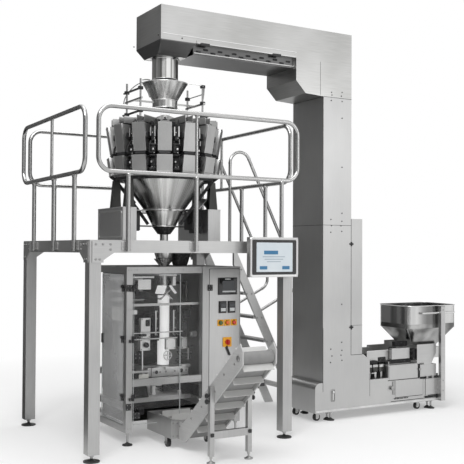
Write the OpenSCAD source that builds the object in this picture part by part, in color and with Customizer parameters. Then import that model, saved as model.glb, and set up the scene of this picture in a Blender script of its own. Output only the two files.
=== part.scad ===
// Multihead weighing and bagging line: a steel work platform over a vertical
// form-fill-seal bagger, a 14-head weigher on the platform, a bucket elevator
// that feeds it and a cleated conveyor that takes the bags away.
// Plan positions are measured from the centre of the platform's front-left leg,
// with X along the front and Y to the back. Everything is then centred.

/* [Platform] */
// Distance between leg centres along the front
platform_w = 1880; // [1700:10:2200]
// Distance between leg centres from front to back
platform_d = 1680; // [1500:10:2000]
// Height of the walking surface above the floor
deck_h = 1800; // [1650:10:2000]
// Width of the square legs
leg_w = 100; // [80:1:120]
// Height of the beams under the deck
beam_h = 100; // [80:1:120]
// Width of the beams under the deck
beam_w = 60; // [40:1:80]
// Thickness of the deck plates
deck_t = 5; // [3:1:8]
// Gap between neighbouring deck plates
deck_joint = 3; // [2:1:6]
// Clear width of the opening in the deck over the bagger
deck_hole_w = 620; // [560:5:700]
// Height from the floor to the underside of the legs
foot_h = 62; // [50:1:90]
// Diameter of the levelling feet
foot_d = 136; // [100:1:160]
// Thickness of the corner gusset plates
gusset_t = 8; // [5:1:12]
// Length of a corner gusset along the beam
gusset_l = 150; // [110:5:200]

/* [Guard rail] */
// Diameter of the rail tubes
rail_d = 38; // [30:1:50]
// Height of the top rail's centre above the deck
rail_h = 1098; // [1000:1:1200]
// Height of the low rail's centre above the deck
low_rail_h = 561; // [450:1:650]
// Radius of the rail's bent corners
bend_r = 120; // [80:5:160]
// Clear distance between a beam and the rail's posts
rail_standoff = 8; // [5:1:12]

/* [Ladder] */
// Clear width between the ladder's stringers
ladder_w = 560; // [450:10:700]
// Distance from the front legs to the ladder's middle
ladder_y = 1330; // [1250:10:1340]
// Horizontal reach of the ladder
ladder_run = 880; // [700:10:900]
// Number of treads
tread_n = 6; // [5:1:7]
// Depth of a tread
tread_l = 120; // [100:5:150]
// Depth of the stringer's flat side
stringer_w = 90; // [70:1:110]
// Thickness of a stringer
stringer_t = 30; // [20:1:40]

/* [Weigher] */
// Distance from the left legs to the weigher's axis
axis_x = 960; // [930:5:990]
// Distance from the front legs to the weigher's axis
axis_y = 660; // [640:5:700]
// Number of weighing heads
head_n = 14; // [10:1:14]
// Radius of the body that carries the hoppers
drive_r = 388; // [370:1:400]
// Radius of the feed hoppers' outer edge at the top
hopper_r = 542; // [530:1:560]
// How far a hopper's outer plate leans in from top to bottom
hopper_lean = 42; // [20:1:60]
// Width of a feed hopper
hopper_w = 112; // [90:1:120]
// Height of a feed hopper
hopper_h = 245; // [220:1:260]
// Width of a weigh hopper
weigh_w = 128; // [100:1:134]
// Height of a weigh hopper
weigh_h = 150; // [120:1:160]
// Height of the feed hoppers' underside above the deck
hopper_z = 800; // [760:5:820]
// Wall thickness of chutes and funnels
sheet_t = 4; // [3:1:6]
// Radius of the collecting cone at its rim
cone_r = 405; // [380:5:420]
// Radius of the collecting cone's outlet
cone_out_r = 192; // [170:1:200]
// Radius of the lower cone's outlet
throat_r = 110; // [95:1:120]
// Radius of the infeed funnel's rim
inlet_r = 211; // [190:1:230]
// Height of the infeed funnel's rim above the deck
inlet_z = 1480; // [1440:5:1500]

/* [Bagger] */
// Distance from the left legs to the bagger's left side
bagger_x = 460; // [440:5:500]
// Overall width of the bagger
bagger_w = 1165; // [1160:5:1200]
// Distance from the front legs to the bagger's front
bagger_y = 372; // [365:1:385]
// Overall depth of the bagger
bagger_d = 980; // [900:10:1000]
// Height of the bagger's top above the floor
bagger_h = 1568; // [1560:1:1590]
// Height of the bagger's underside above the floor
bagger_z = 112; // [100:1:130]
// Width of the bagger's square posts
post_w = 60; // [50:1:70]
// Width of the control cabinet
cabinet_w = 345; // [320:5:360]
// Thickness of the clear doors
door_t = 8; // [6:1:12]
// Running gap round the doors
door_gap = 6; // [5:1:10]
// Width of the front door's leaf
door_w = 460; // [420:5:480]
// Diameter of the forming tube
tube_d = 72; // [60:1:80]

/* [Conveyor] */
// Distance from the left legs to the middle of the conveyor
conveyor_x = 990; // [980:1:1000]
// Width of the conveyor's belt
belt_w = 280; // [260:2:290]
// Height of the belt's middle at the discharge end
conveyor_top = 937; // [900:1:960]
// Height of the belt's middle under the bagger
conveyor_low = 155; // [150:1:170]
// Angle of the conveyor's slope
conveyor_slope = 39.3; // [37:0.1:42]
// Distance from the bagger's front to the discharge end
conveyor_reach = 1352; // [1250:1:1450]
// Depth of the conveyor's side plates
conveyor_side_h = 150; // [140:1:160]
// Thickness of the conveyor's side plates
conveyor_side_t = 12; // [10:1:15]
// Gap between the belt and the side plates
belt_gap = 6; // [4:1:8]
// Radius of the conveyor's end rollers
roller_r = 45; // [40:1:48]
// Thickness of the belt
belt_t = 4; // [3:1:6]
// Pitch of the cleats along the belt
cleat_pitch = 190; // [150:5:240]
// Height of a cleat
cleat_h = 60; // [40:1:64]

/* [Bucket elevator] */
// Depth of the elevator's housing from front to back
elevator_d = 540; // [500:10:560]
// Height of the arm's top above the floor
arm_top = 3950; // [3900:10:4000]
// Height of the arm's housing
arm_h = 315; // [290:5:330]
// Distance from the left legs to the column's left face
column_x = 2610; // [2600:5:2700]
// Width of the column
column_w = 357; // [340:1:370]
// Height of the underside of the elevator's base
base_z = 90; // [85:1:100]
// Length of the elevator's base
base_l = 1710; // [1650:10:1750]
// Diameter of the spout over the weigher
spout_d = 244; // [230:2:260]

/* [Infeed] */
// Length of the infeed hopper along the line
infeed_l = 700; // [660:10:720]
// Width of the infeed hopper across the line
infeed_w = 530; // [480:10:530]
// Height of the hopper's rim above the floor
infeed_top = 1125; // [1100:5:1160]
// Height of the hopper's upright walls
infeed_wall = 245; // [220:5:260]
// Radius of the hopper's upright corners
infeed_corner = 80; // [40:5:120]
// Overhang of the hopper past the base's end
infeed_over = 245; // [200:5:260]

/* [Casters] */
// Diameter of the caster wheels
wheel_d = 75; // [70:1:80]
// Width of the caster wheels
wheel_w = 28; // [22:1:32]
// Clearance between a wheel and its fork
wheel_gap = 5; // [5:1:8]

/* [Hidden] */
$fn = 48;

steel = "#b9babb";
dark_steel = "#77787a";
black = "#222324";

post_off = leg_w / 2 + rail_standoff + rail_d / 2;
base_x = column_x - 95;
elevator_y = axis_y - elevator_d / 2;
infeed_x = base_x + base_l + infeed_over - infeed_l;
x_min = -post_off - rail_d / 2;
x_max = infeed_x + infeed_l;
y_max = platform_d + post_off + rail_d / 2;
head_y = bagger_y - conveyor_reach;
y_min = head_y;
module placed() {
    translate([-(x_min + x_max) / 2, -(y_min + y_max) / 2, 0])
        children();
}

module block(x, y, z, dx, dy, dz) {
    translate([x, y, z])
        cube([dx, dy, dz]);
}

module rod_z(x, y, z, d, h) {
    translate([x, y, z])
        cylinder(d = d, h = h);
}

module rod_x(x, y, z, d, h) {
    translate([x, y, z])
        rotate([0, 90, 0])
            cylinder(d = d, h = h);
}

module rod_y(x, y, z, d, h) {
    translate([x, y, z])
        rotate([-90, 0, 0])
            cylinder(d = d, h = h);
}

// Platform
module leg_places() {
    for (x = [0, platform_w], y = [0, platform_d])
        translate([x, y, 0])
            children();
}

module platform_legs() {
    color(steel)
        placed()
            leg_places()
                block(-leg_w / 2, -leg_w / 2, foot_h, leg_w, leg_w, deck_h - deck_t - foot_h);
}

module levelling_foot(h, d, stem) {
    cylinder(d = d, h = 10);
    translate([0, 0, 10])
        cylinder(d1 = d * 0.8, d2 = stem * 1.6, h = 12);
    cylinder(d = stem, h = h);
    translate([0, 0, h - 16])
        cylinder(d = stem * 1.8, h = 16, $fn = 6);
}

module levelling_feet() {
    color(steel)
        placed() {
            leg_places()
                levelling_foot(foot_h, foot_d, 24);
            for (x = [bagger_x + post_w / 2, bagger_x1 - post_w / 2],
                y = [bagger_y + post_w / 2, bagger_y1 - post_w / 2])
                translate([x, y, 0])
                    levelling_foot(bagger_z, 90, 20);
            for (x = [base_x + 220, base_x + base_l - 120],
                y = [elevator_y + 40, elevator_y + elevator_d - 40])
                translate([x, y, 0])
                    levelling_foot(base_z, 80, 20);
        }
}

beam_z = deck_h - deck_t - beam_h;
span_w = platform_w - leg_w;
span_d = platform_d - leg_w;

module platform_beams_front_back() {
    color(steel)
        placed()
            for (y = [-leg_w / 2, platform_d + leg_w / 2 - beam_w])
                block(leg_w / 2, y, beam_z, span_w, beam_w, beam_h);
}

module platform_beams_sides() {
    color(steel)
        placed() {
            for (x = [-leg_w / 2, platform_w + leg_w / 2 - beam_w])
                block(x, leg_w / 2, beam_z, beam_w, span_d, beam_h);
            for (side = [-1, 1])
                block(axis_x + side * (deck_hole_w / 2 + beam_w / 2) - beam_w / 2, beam_w - leg_w / 2, beam_z,
                    beam_w, platform_d + leg_w - 2 * beam_w, beam_h);
        }
}

deck_x0 = -leg_w / 2;
deck_y0 = -leg_w / 2;
hole_x0 = axis_x - deck_hole_w / 2;
hole_y0 = axis_y - deck_hole_w / 2;

module deck_plates() {
    deck_w = platform_w + leg_w;
    deck_d = platform_d + leg_w;
    z = deck_h - deck_t;
    color(steel)
        placed() {
            block(deck_x0, deck_y0, z, hole_x0 - deck_x0 - deck_joint, deck_d, deck_t);
            block(hole_x0 + deck_hole_w + deck_joint, deck_y0, z,
                deck_x0 + deck_w - hole_x0 - deck_hole_w - deck_joint, deck_d, deck_t);
            block(hole_x0, deck_y0, z, deck_hole_w, hole_y0 - deck_y0, deck_t);
            block(hole_x0, hole_y0 + deck_hole_w, z, deck_hole_w,
                deck_y0 + deck_d - hole_y0 - deck_hole_w, deck_t);
        }
}

module gusset_plate() {
    rotate([90, 0, 0])
        linear_extrude(gusset_t)
            polygon([[-leg_w / 2 + 8, -beam_h - 80], [-leg_w / 2 + 8, -8], [gusset_l, -8],
                [gusset_l, -beam_h + 2], [leg_w / 2 + 6, -beam_h - 60], [leg_w / 2 + 6, -beam_h - 80]]);
}

module corner_gussets() {
    inset = 12;
    z = deck_h - deck_t;
    color(steel)
        placed() {
            translate([inset, -leg_w / 2, z])
                gusset_plate();
            translate([platform_w - inset, -leg_w / 2, z])
                mirror([1, 0, 0])
                    gusset_plate();
            translate([inset, platform_d + leg_w / 2 + gusset_t, z])
                gusset_plate();
            translate([platform_w - inset, platform_d + leg_w / 2 + gusset_t, z])
                mirror([1, 0, 0])
                    gusset_plate();
            for (x = [-leg_w / 2, platform_w + leg_w / 2 + gusset_t]) {
                translate([x, inset, z])
                    rotate([0, 0, 90])
                        translate([0, gusset_t, 0])
                            gusset_plate();
                translate([x, platform_d - inset, z])
                    rotate([0, 0, 90])
                        mirror([1, 0, 0])
                            translate([0, gusset_t, 0])
                                gusset_plate();
            }
        }
}

// Guard rails: a bent tube loop of length len in the X-Z plane, with posts
module bend(angle) {
    rotate([90, 0, 0])
        rotate([0, 0, angle])
            rotate_extrude(angle = 90)
                translate([bend_r, 0])
                    circle(d = rail_d);
}

module rail_loop(len, middles) {
    z0 = deck_h + low_rail_h;
    z1 = deck_h + rail_h;
    rod_x(bend_r, 0, z0, rail_d, len - 2 * bend_r);
    rod_x(bend_r, 0, z1, rail_d, len - 2 * bend_r);
    rod_z(0, 0, z0 + bend_r, rail_d, z1 - z0 - 2 * bend_r);
    rod_z(len, 0, z0 + bend_r, rail_d, z1 - z0 - 2 * bend_r);
    translate([bend_r, 0, z0 + bend_r])
        bend(180);
    translate([len - bend_r, 0, z0 + bend_r])
        bend(270);
    translate([bend_r, 0, z1 - bend_r])
        bend(90);
    translate([len - bend_r, 0, z1 - bend_r])
        bend(0);
    for (x = middles)
        rod_z(x, 0, z0, rail_d * 0.7, z1 - z0);
}

// Posts under the low rail, each with a shoe on the beam; a pad as thick as a
// gusset fills the gap behind it, apart from the places that lie over a gusset
module rail_posts(places, over_gusset = []) {
    post_z = beam_z + 12;
    top_z = deck_h + low_rail_h;
    for (x = concat(places, over_gusset))
        difference() {
            union() {
                rod_z(x, 0, post_z, rail_d, top_z - post_z);
                block(x - 20, rail_d / 2 - 10, post_z + 10, 40, 10 + rail_standoff - gusset_t, beam_h - 30);
            }
            rod_x(x - rail_d, 0, top_z, rail_d, 2 * rail_d);
        }
    for (x = places)
        block(x - 20, rail_d / 2 + rail_standoff - gusset_t, post_z + 10, 40, gusset_t, beam_h - 30);
}

module on_front() {
    translate([-post_off + 85, -post_off, 0])
        children();
}

module on_back() {
    translate([platform_w + post_off - 90, platform_d + post_off, 0])
        rotate([0, 0, 180])
            children();
}

module on_left() {
    translate([-post_off, platform_d + post_off - 90, 0])
        rotate([0, 0, -90])
            children();
}

module on_right() {
    translate([platform_w + post_off, 30, 0])
        rotate([0, 0, 90])
            children();
}

module handrail_front() {
    color(steel)
        placed()
            on_front()
                rail_loop(platform_w + post_off, [900]);
}

module handrail_back() {
    color(steel)
        placed()
            on_back()
                rail_loop(platform_w + 2 * post_off - 180, [900]);
}

module handrail_left() {
    color(steel)
        placed()
            on_left()
                rail_loop(platform_d + post_off - 90, [840]);
}

module handrail_right() {
    color(steel)
        placed()
            on_right()
                rail_loop(1560, [1290]);
}

module handrail_posts() {
    color(steel)
        placed() {
            on_front()
                rail_posts([265, 900], [1782]);
            on_back()
                rail_posts([180, 900, 1600]);
            on_left()
                rail_posts([341, 903, 1425]);
            on_right()
                rail_posts([427, 1335 - 460]);
        }
}

// Ladder on the right side, its slope set by the deck's height and its run
ladder_x = platform_w + leg_w / 2 + gusset_t;
ladder_rise = deck_h - 25;
ladder_a = atan(ladder_rise / ladder_run);
ladder_len = norm([ladder_rise, ladder_run]);

module ladder_sides() {
    for (side = [-1, 1])
        translate([ladder_x, ladder_y + side * (ladder_w / 2 + stringer_t / 2), 0])
            children();
}

module ladder_stringers() {
    slant = stringer_w / sin(ladder_a);
    plate_y = ladder_y - ladder_w / 2 - stringer_t;
    color(steel)
        placed() {
            // Hook plate behind the near stringer, as thick as the gusset behind the far one
            block(ladder_x - gusset_t, plate_y, beam_z + 5, gusset_t, 300, beam_h - 10);
            ladder_sides()
                translate([0, stringer_t / 2, 0])
                    rotate([90, 0, 0])
                        linear_extrude(stringer_t)
                            polygon([[0, ladder_rise], [0, ladder_rise - slant * tan(ladder_a)],
                                [ladder_run - slant, 0], [ladder_run, 0]]);
        }
}

module ladder_treads() {
    color(dark_steel)
        placed()
            for (i = [1:tread_n]) {
                z = ladder_rise * i / (tread_n + 1);
                x = ladder_x + (ladder_rise - z) / tan(ladder_a);
                block(x - tread_l, ladder_y - ladder_w / 2, z - 12, tread_l, ladder_w, 24);
            }
}

module tube_arc(x, z, r, from, sweep, d) {
    translate([x, 0, z])
        rotate([90, 0, 0])
            rotate([0, 0, from])
                rotate_extrude(angle = sweep)
                    translate([r, 0])
                        circle(d = d);
}

module tube_run(x, z, tilt, d, len) {
    translate([x, 0, z])
        rotate([0, tilt, 0])
            cylinder(d = d, h = len);
}

// Welded sleeve over the seam between two lengths of tube
module sleeve(x, z, tilt, d) {
    translate([x, 0, z])
        rotate([0, tilt, 0])
            translate([0, 0, -8])
                cylinder(d = d + 4, h = 16);
}

module ladder_handrails() {
    tube = 32;
    arch_x = -44;
    arch_r = 120;
    top_z = deck_h + 820;
    end_x = arch_x + arch_r * (1 + sin(ladder_a));
    end_z = top_z + arch_r * cos(ladder_a);
    // Distance of the rail's centre from the stringer's upper edge
    lift = end_x * sin(ladder_a) + (end_z - ladder_rise) * cos(ladder_a);
    slope_len = (end_z - 1450) / sin(ladder_a);
    low_x = end_x + slope_len * cos(ladder_a);
    low_z = end_z - slope_len * sin(ladder_a);
    stub_x = low_x + arch_r * (cos(ladder_a) - sin(ladder_a));
    stub_z = low_z - arch_r * (cos(ladder_a) + sin(ladder_a));
    color(steel)
        placed()
            ladder_sides() {
                rod_z(arch_x, 0, deck_h, tube, top_z - deck_h);
                rod_z(arch_x, 0, deck_h, 2 * tube, 8);
                sleeve(arch_x, top_z, 0, tube);
                tube_arc(arch_x + arch_r, top_z, arch_r, 90 - ladder_a, 90 + ladder_a, tube);
                sleeve(end_x, end_z, 90 + ladder_a, tube);
                tube_run(end_x, end_z, 90 + ladder_a, tube, slope_len);
                sleeve(low_x, low_z, 90 + ladder_a, tube);
                tube_arc(low_x - arch_r * sin(ladder_a), low_z - arch_r * cos(ladder_a), arch_r,
                    -ladder_a, 90, tube);
                sleeve(stub_x, stub_z, ladder_a, tube);
                tube_run(stub_x, stub_z, 180 + ladder_a, tube, lift - arch_r);
            }
}

// Weigher
feed_z = deck_h + hopper_z;
weigh_z = feed_z - 40 - weigh_h;
rim_z = weigh_z - 14;
neck_z = deck_h + 297;
body_top = feed_z + hopper_h + 15;
collar_r = 117;

module on_axis() {
    translate([axis_x, axis_y, 0])
        children();
}

module heads() {
    for (i = [0:head_n - 1])
        on_axis()
            rotate([0, 0, (i + 0.5) * 360 / head_n])
                children();
}

slot_angles = [for (q = [1:2:7]) round(q * head_n / 8) * 360 / head_n];
stand_w = 133;
stand_x = 500;
stand_y0 = -190;
stand_y1 = 400;
stand_h = 300;
ring_r = drive_r + 70;
ring_h = 26;
ring_z = rim_z - ring_h - 12;

// Profile in the radial plane, drawn with X outwards, w wide across
module radial(w) {
    rotate([90, 0, 0])
        translate([0, 0, -w / 2])
            linear_extrude(w)
                children();
}

module weigher_stand() {
    foot_r = stand_x - stand_w / 2;
    top = ring_z - deck_h;
    color(steel)
        placed()
            translate([axis_x, axis_y, deck_h])
                for (side = [-1, 1]) {
                    block(side > 0 ? stand_x - stand_w : -stand_x, stand_y0, 0, stand_w,
                        stand_y1 - stand_y0, stand_h);
                    // Slanted struts from the box's top to the ring under the hoppers
                    for (y = [-150, 150])
                        translate([0, y, 0])
                            mirror([side > 0 ? 0 : 1, 0, 0])
                                radial(60)
                                    polygon([[foot_r - 50, stand_h], [foot_r + 40, stand_h],
                                        [drive_r + 60, top], [drive_r + 10, top]]);
                }
}

// Ring under the weigh hoppers, drum with the drives, and the arms between them
module weigher_body() {
    color(dark_steel)
        placed() {
            on_axis()
                difference() {
                    translate([0, 0, ring_z])
                        cylinder(r = ring_r, h = ring_h);
                    translate([0, 0, ring_z - 1])
                        cylinder(r = cone_r + 6, h = ring_h + 2);
                }
            on_axis()
                for (a = slot_angles)
                    rotate([0, 0, a])
                        block(drive_r - 30, -12, rim_z - 6, 60, 24, body_top - rim_z - 60);
            on_axis()
                translate([0, 0, weigh_z + 10])
                    cylinder(r = drive_r, h = body_top - weigh_z - 40);
            on_axis()
                translate([0, 0, body_top - 30])
                    cylinder(r = 250, h = 30);
        }
}

module feeder_pans() {
    color(steel)
        placed() {
            heads()
                translate([185, 0, body_top])
                    difference() {
                        block(0, -38, 0, hopper_r - 230, 76, 60);
                        block(sheet_t, -38 + sheet_t, sheet_t, hopper_r - 225, 76 - 2 * sheet_t, 60);
                    }
            on_axis()
                translate([0, 0, body_top])
                    cylinder(r = 150, h = 60);
            on_axis()
                translate([0, 0, body_top + 60])
                    cylinder(r1 = 200, r2 = 20, h = 70);
        }
}

// A hopper open at the top, its outer plate leaning in towards the bottom
module hopper(z, r, w, h, lean) {
    inner = drive_r;
    translate([0, 0, z])
        difference() {
            radial(w)
                polygon([[inner, 0], [r - lean, 0], [r, h], [inner, h]]);
            translate([0, 0, sheet_t])
                radial(w - 2 * sheet_t)
                    polygon([[inner + sheet_t, 0], [r - lean - sheet_t, 0], [r - sheet_t, h],
                        [inner + sheet_t, h]]);
        }
}

module feed_hoppers() {
    color(steel)
        placed()
            heads()
                hopper(feed_z, hopper_r, hopper_w, hopper_h, hopper_lean);
}

module weigh_hoppers() {
    color(steel)
        placed()
            heads() {
                hopper(weigh_z, hopper_r - 12, weigh_w, weigh_h, hopper_lean * weigh_h / hopper_h);
                // Discharge flap's lower edge
                radial(weigh_w + 6)
                    polygon([[hopper_r - 90, weigh_z], [hopper_r - 52, weigh_z], [hopper_r - 34, weigh_z + 12],
                        [hopper_r - 28, weigh_z + 12], [hopper_r - 44, weigh_z - 8],
                        [hopper_r - 90, weigh_z - 8]]);
            }
}

module funnel(r1, r2, z0, z1) {
    difference() {
        translate([0, 0, z0])
            cylinder(r1 = r1, r2 = r2, h = z1 - z0);
        translate([0, 0, z0 - 0.01])
            cylinder(r1 = r1 - sheet_t, r2 = r2 - sheet_t, h = z1 - z0 + 0.02);
    }
}

module ring(r, inner, z, h) {
    difference() {
        translate([0, 0, z])
            cylinder(r = r, h = h);
        translate([0, 0, z - 1])
            cylinder(r = inner, h = h + 2);
    }
}

module collecting_cone() {
    color(steel)
        placed()
            on_axis() {
                funnel(cone_out_r, cone_r, neck_z, rim_z - 12);
                ring(ring_r, cone_r - sheet_t, rim_z - 12, 6);
                ring(cone_out_r + 6, cone_out_r - sheet_t - 8, neck_z - 8, 8);
            }
}

module outlet_funnel() {
    throat_z = deck_h + 145;
    tube_z = deck_h + 62;
    color(steel)
        placed() {
            on_axis() {
                funnel(throat_r, cone_out_r - 14, throat_z, neck_z - 14);
                ring(cone_out_r + 6, cone_out_r - 14 - sheet_t, neck_z - 14, 6);
                ring(throat_r + 10, throat_r - 30, throat_z - 8, 8);
                funnel(tube_d / 2 + 2, 92, tube_z, throat_z - 8);
                funnel(tube_d / 2 + 2, tube_d / 2 + 2, deck_h - 110, tube_z);
            }
            // Arms to the stand's boxes
            for (side = [-1, 1])
                translate([axis_x, axis_y, neck_z - 14])
                    block(side > 0 ? cone_out_r + 3 : stand_w - stand_x, -20, 0,
                        stand_x - stand_w - cone_out_r - 3, 40, 6);
        }
}

module infeed_funnel() {
    top = deck_h + inlet_z;
    color(steel)
        placed()
            on_axis() {
                funnel(collar_r, inlet_r, top - 160, top);
                funnel(collar_r, collar_r, top - 230, top - 160);
            }
}

rod_d = 18;
rod_r = 355;
rod_a = rod_r * cos(360 / head_n);
rod_b = rod_r * sin(360 / head_n);

// Four rods on the body, with bars that hold the infeed funnel by its collar
module funnel_posts() {
    top = deck_h + inlet_z - 190;
    color(steel)
        placed()
            on_axis() {
                for (x = [-rod_a, rod_a], y = [-rod_b, rod_b])
                    rod_z(x, y, body_top - 30, rod_d, inlet_z + deck_h + 25 - body_top);
                for (x = [-rod_a, rod_a])
                    block(x - 8, -rod_b - 30, top, 16, 2 * rod_b + 60, 16);
                for (side = [-1, 1])
                    block(side > 0 ? collar_r : -rod_a, -8, top, rod_a - collar_r, 16, 16);
            }
}

module operator_panel() {
    panel_w = 515;
    panel_h = 356;
    x = platform_w + 37 - panel_w;
    z = deck_h - 318;
    y = -post_off - 80;
    color(dark_steel)
        placed() {
            block(x, y, z, panel_w, 50, panel_h);
            block(x + 130, y + 50, beam_z + 20, 60, -leg_w / 2 - y - 50, 60);
        }
}

// Bagger
bagger_x1 = bagger_x + bagger_w;
bagger_y1 = bagger_y + bagger_d;
cabinet_x = bagger_x1 - cabinet_w;
back_y = bagger_y1 - 300;

module bagger_posts() {
    color(steel)
        placed() {
            for (x = [bagger_x, cabinet_x - post_w], y = [bagger_y, bagger_y1 - post_w])
                block(x, y, bagger_z, post_w, post_w, bagger_h - bagger_z);
            fixed_hinges();
        }
}

module bagger_rails() {
    inner_w = cabinet_x - bagger_x - 2 * post_w;
    color(steel)
        placed() {
            for (y = [bagger_y, bagger_y1 - post_w], z = [bagger_z + 400, bagger_h - post_w])
                block(bagger_x + post_w, y + (y == bagger_y ? door_t + 2 : 0), z, inner_w,
                    post_w - (y == bagger_y ? door_t + 2 : 0), post_w);
            block(bagger_x + post_w, bagger_y1 - post_w, bagger_z, inner_w, post_w, post_w);
            // Thin rail that guides the film, behind the door
            block(bagger_x + post_w, bagger_y + 70, 1215, inner_w, 25, 22);
            for (x = [bagger_x, cabinet_x - post_w], z = [bagger_z, bagger_h - post_w])
                block(x, bagger_y + post_w, z, post_w, bagger_d - 2 * post_w, post_w);
            for (x = [bagger_x + 20, cabinet_x - post_w])
                block(x, bagger_y + post_w, 290, 40, bagger_d - 2 * post_w, 60);
        }
}

module control_cabinet() {
    color(steel)
        placed() {
            block(cabinet_x, bagger_y, bagger_z + 188, cabinet_w, bagger_d, bagger_h - bagger_z - 188);
            for (y = [bagger_y, bagger_y1 - post_w])
                block(bagger_x1 - post_w, y, bagger_z, post_w, post_w, 188);
        }
}

switch_x = cabinet_x + 200;
switch_z = 862;
plate_t = 12;
spindle_d = 8;
spindle_gap = 0.3;

module cabinet_controls() {
    color(black)
        placed() {
            block(cabinet_x + 100, bagger_y - 10, 1304, 204, 10, 160);
            block(cabinet_x + 110, bagger_y - 10, 1133, 80, 10, 112);
            block(cabinet_x + 206, bagger_y - 10, 1133, 80, 10, 112);
            for (i = [0:2])
                translate([cabinet_x + 128 + i * 72, bagger_y, 1043])
                    rotate([90, 0, 0]) {
                        cylinder(d = 46, h = 8);
                        cylinder(d = 32, h = 20);
                    }
            block(switch_x - 42, bagger_y - plate_t, switch_z - 42, 84, plate_t, 84);
            rod_y(switch_x, bagger_y - plate_t - 10, switch_z, spindle_d, 10);
        }
}

module main_switch() {
    color("#b3262a")
        placed()
            translate([switch_x, bagger_y - plate_t - 1, switch_z])
                rotate([90, 0, 0])
                    difference() {
                        union() {
                            cylinder(d = 50, h = 12);
                            block(-7, -24, 12, 14, 48, 18);
                        }
                        translate([0, 0, -1])
                            cylinder(d = spindle_d + 2 * spindle_gap, h = 11);
                    }
}

door_x0 = bagger_x + post_w + door_gap;
door_x1 = door_x0 + door_w;
door_z0 = bagger_z + 198;
door_z1 = bagger_h - post_w - door_gap;

hinge_r = 9;
pin_r = 4;
hinge_gap = 0.3;
hinge_h = 30;
hinge_zs = [door_z0 + 110, door_z0 + 620, door_z0 + 1070];
front_pin = [bagger_x + post_w + door_gap / 2, bagger_y - hinge_r - 1];
side_pin = [bagger_x - hinge_r - 1, bagger_y + post_w + door_gap / 2];

// Upper half of a hinge: a knuckle that turns with the door on the fixed pin
module knuckle(pin, z, bore) {
    translate([pin[0], pin[1], z])
        difference() {
            cylinder(r = hinge_r, h = hinge_h);
            translate([0, 0, -1])
                cylinder(r = bore, h = hinge_h + 2);
        }
}

module door_leaf(z) {
    knuckle(front_pin, z, pin_r + hinge_gap);
    difference() {
        block(front_pin[0], bagger_y - 5, z, 34, 5, hinge_h);
        rod_z(front_pin[0], front_pin[1], z - 1, 2 * pin_r + 2 * hinge_gap, hinge_h + 2);
    }
}

module side_leaf(z) {
    knuckle(side_pin, z, pin_r + hinge_gap);
    difference() {
        block(bagger_x - 5, side_pin[1], z, 5, 34, hinge_h);
        rod_z(side_pin[0], side_pin[1], z - 1, 2 * pin_r + 2 * hinge_gap, hinge_h + 2);
    }
}

// Lower half of each hinge, fixed to the post, with the pin that the door turns on
module fixed_hinges() {
    for (z = hinge_zs) {
        rod_z(front_pin[0], front_pin[1], z - hinge_h - hinge_gap, 2 * hinge_r, hinge_h);
        rod_z(front_pin[0], front_pin[1], z - hinge_h, 2 * pin_r, 2 * hinge_h);
        block(front_pin[0] - 34, bagger_y - 5, z - hinge_h - hinge_gap, 34, 5, hinge_h);
        rod_z(side_pin[0], side_pin[1], z - hinge_h - hinge_gap, 2 * hinge_r, hinge_h);
        rod_z(side_pin[0], side_pin[1], z - hinge_h, 2 * pin_r, 2 * hinge_h);
        block(bagger_x - 5, side_pin[1] - 34, z - hinge_h - hinge_gap, 5, 34, hinge_h);
    }
}

module front_door() {
    color("#dfe6e8")
        placed()
            {
                block(door_x0, bagger_y, door_z0, door_x1 - door_x0, door_t, door_z1 - door_z0);
                for (z = hinge_zs)
                    door_leaf(z);
            }
}

// Fixed clear panel beside the door, held by the right post
module front_panel() {
    color("#dfe6e8")
        placed()
            block(door_x1 + 4, bagger_y, door_z0, cabinet_x - post_w - door_x1 - 4, door_t, door_z1 - door_z0);
}

side_z0 = bagger_z + post_w + door_gap;
side_y0 = bagger_y + post_w + door_gap;
side_len = 500;

module side_door() {
    color("#dfe6e8")
        placed()
            {
                block(bagger_x, side_y0, side_z0, door_t, side_len, door_z1 - side_z0);
                for (z = hinge_zs)
                    side_leaf(z);
            }
}

module forming_tube() {
    film_r = 54;
    color(steel)
        placed() {
            on_axis() {
                funnel(tube_d / 2, 95, bagger_h - 4, bagger_h + 70);
                funnel(tube_d / 2, tube_d / 2, 1300, bagger_h - 4);
                funnel(film_r, film_r, 650, 1300);
            }
            difference() {
                block(axis_x - 90, axis_y - 90, bagger_h - 90, 180, back_y - axis_y + 90, 20);
                rod_z(axis_x, axis_y, bagger_h - 91, tube_d - 1, 22);
            }
            // Forming shoulder: two wings that fold the film round the tube
            difference() {
                for (side = [-1, 1])
                    translate([axis_x, axis_y - 10, 1300])
                        rotate([0, side * 42, 0])
                            block(-70, -60, 8, 140, 120, 6);
                rod_z(axis_x, axis_y, 1200, tube_d - 1, 400);
            }
        }
}

module film_carriage() {
    color(steel)
        placed() {
            block(bagger_x + post_w, back_y, bagger_z + 300, cabinet_x - bagger_x - 2 * post_w, 20,
                bagger_h - bagger_z - 300 - post_w);
            for (x = [axis_x + 150, axis_x + 205]) {
                rod_z(x, axis_y - 60, 1237, 22, 190);
                block(x - 15, axis_y - 60, 1400, 30, back_y - axis_y + 60, 20);
                block(x - 15, bagger_y + 95, 1217, 30, axis_y - bagger_y - 143, 20);
            }
        }
}

module pull_belts() {
    color(black)
        placed()
            for (side = [-1, 1]) {
                block(axis_x + side * 92 - 30, axis_y - 40, 880, 60, 80, 330);
                block(axis_x + side * 92 - 20, axis_y + 40, 1000, 40, back_y - axis_y - 40, 40);
                block(axis_x + side * 150 - 28, axis_y - 55, 940, 56, 110, 190);
            }
}

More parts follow.
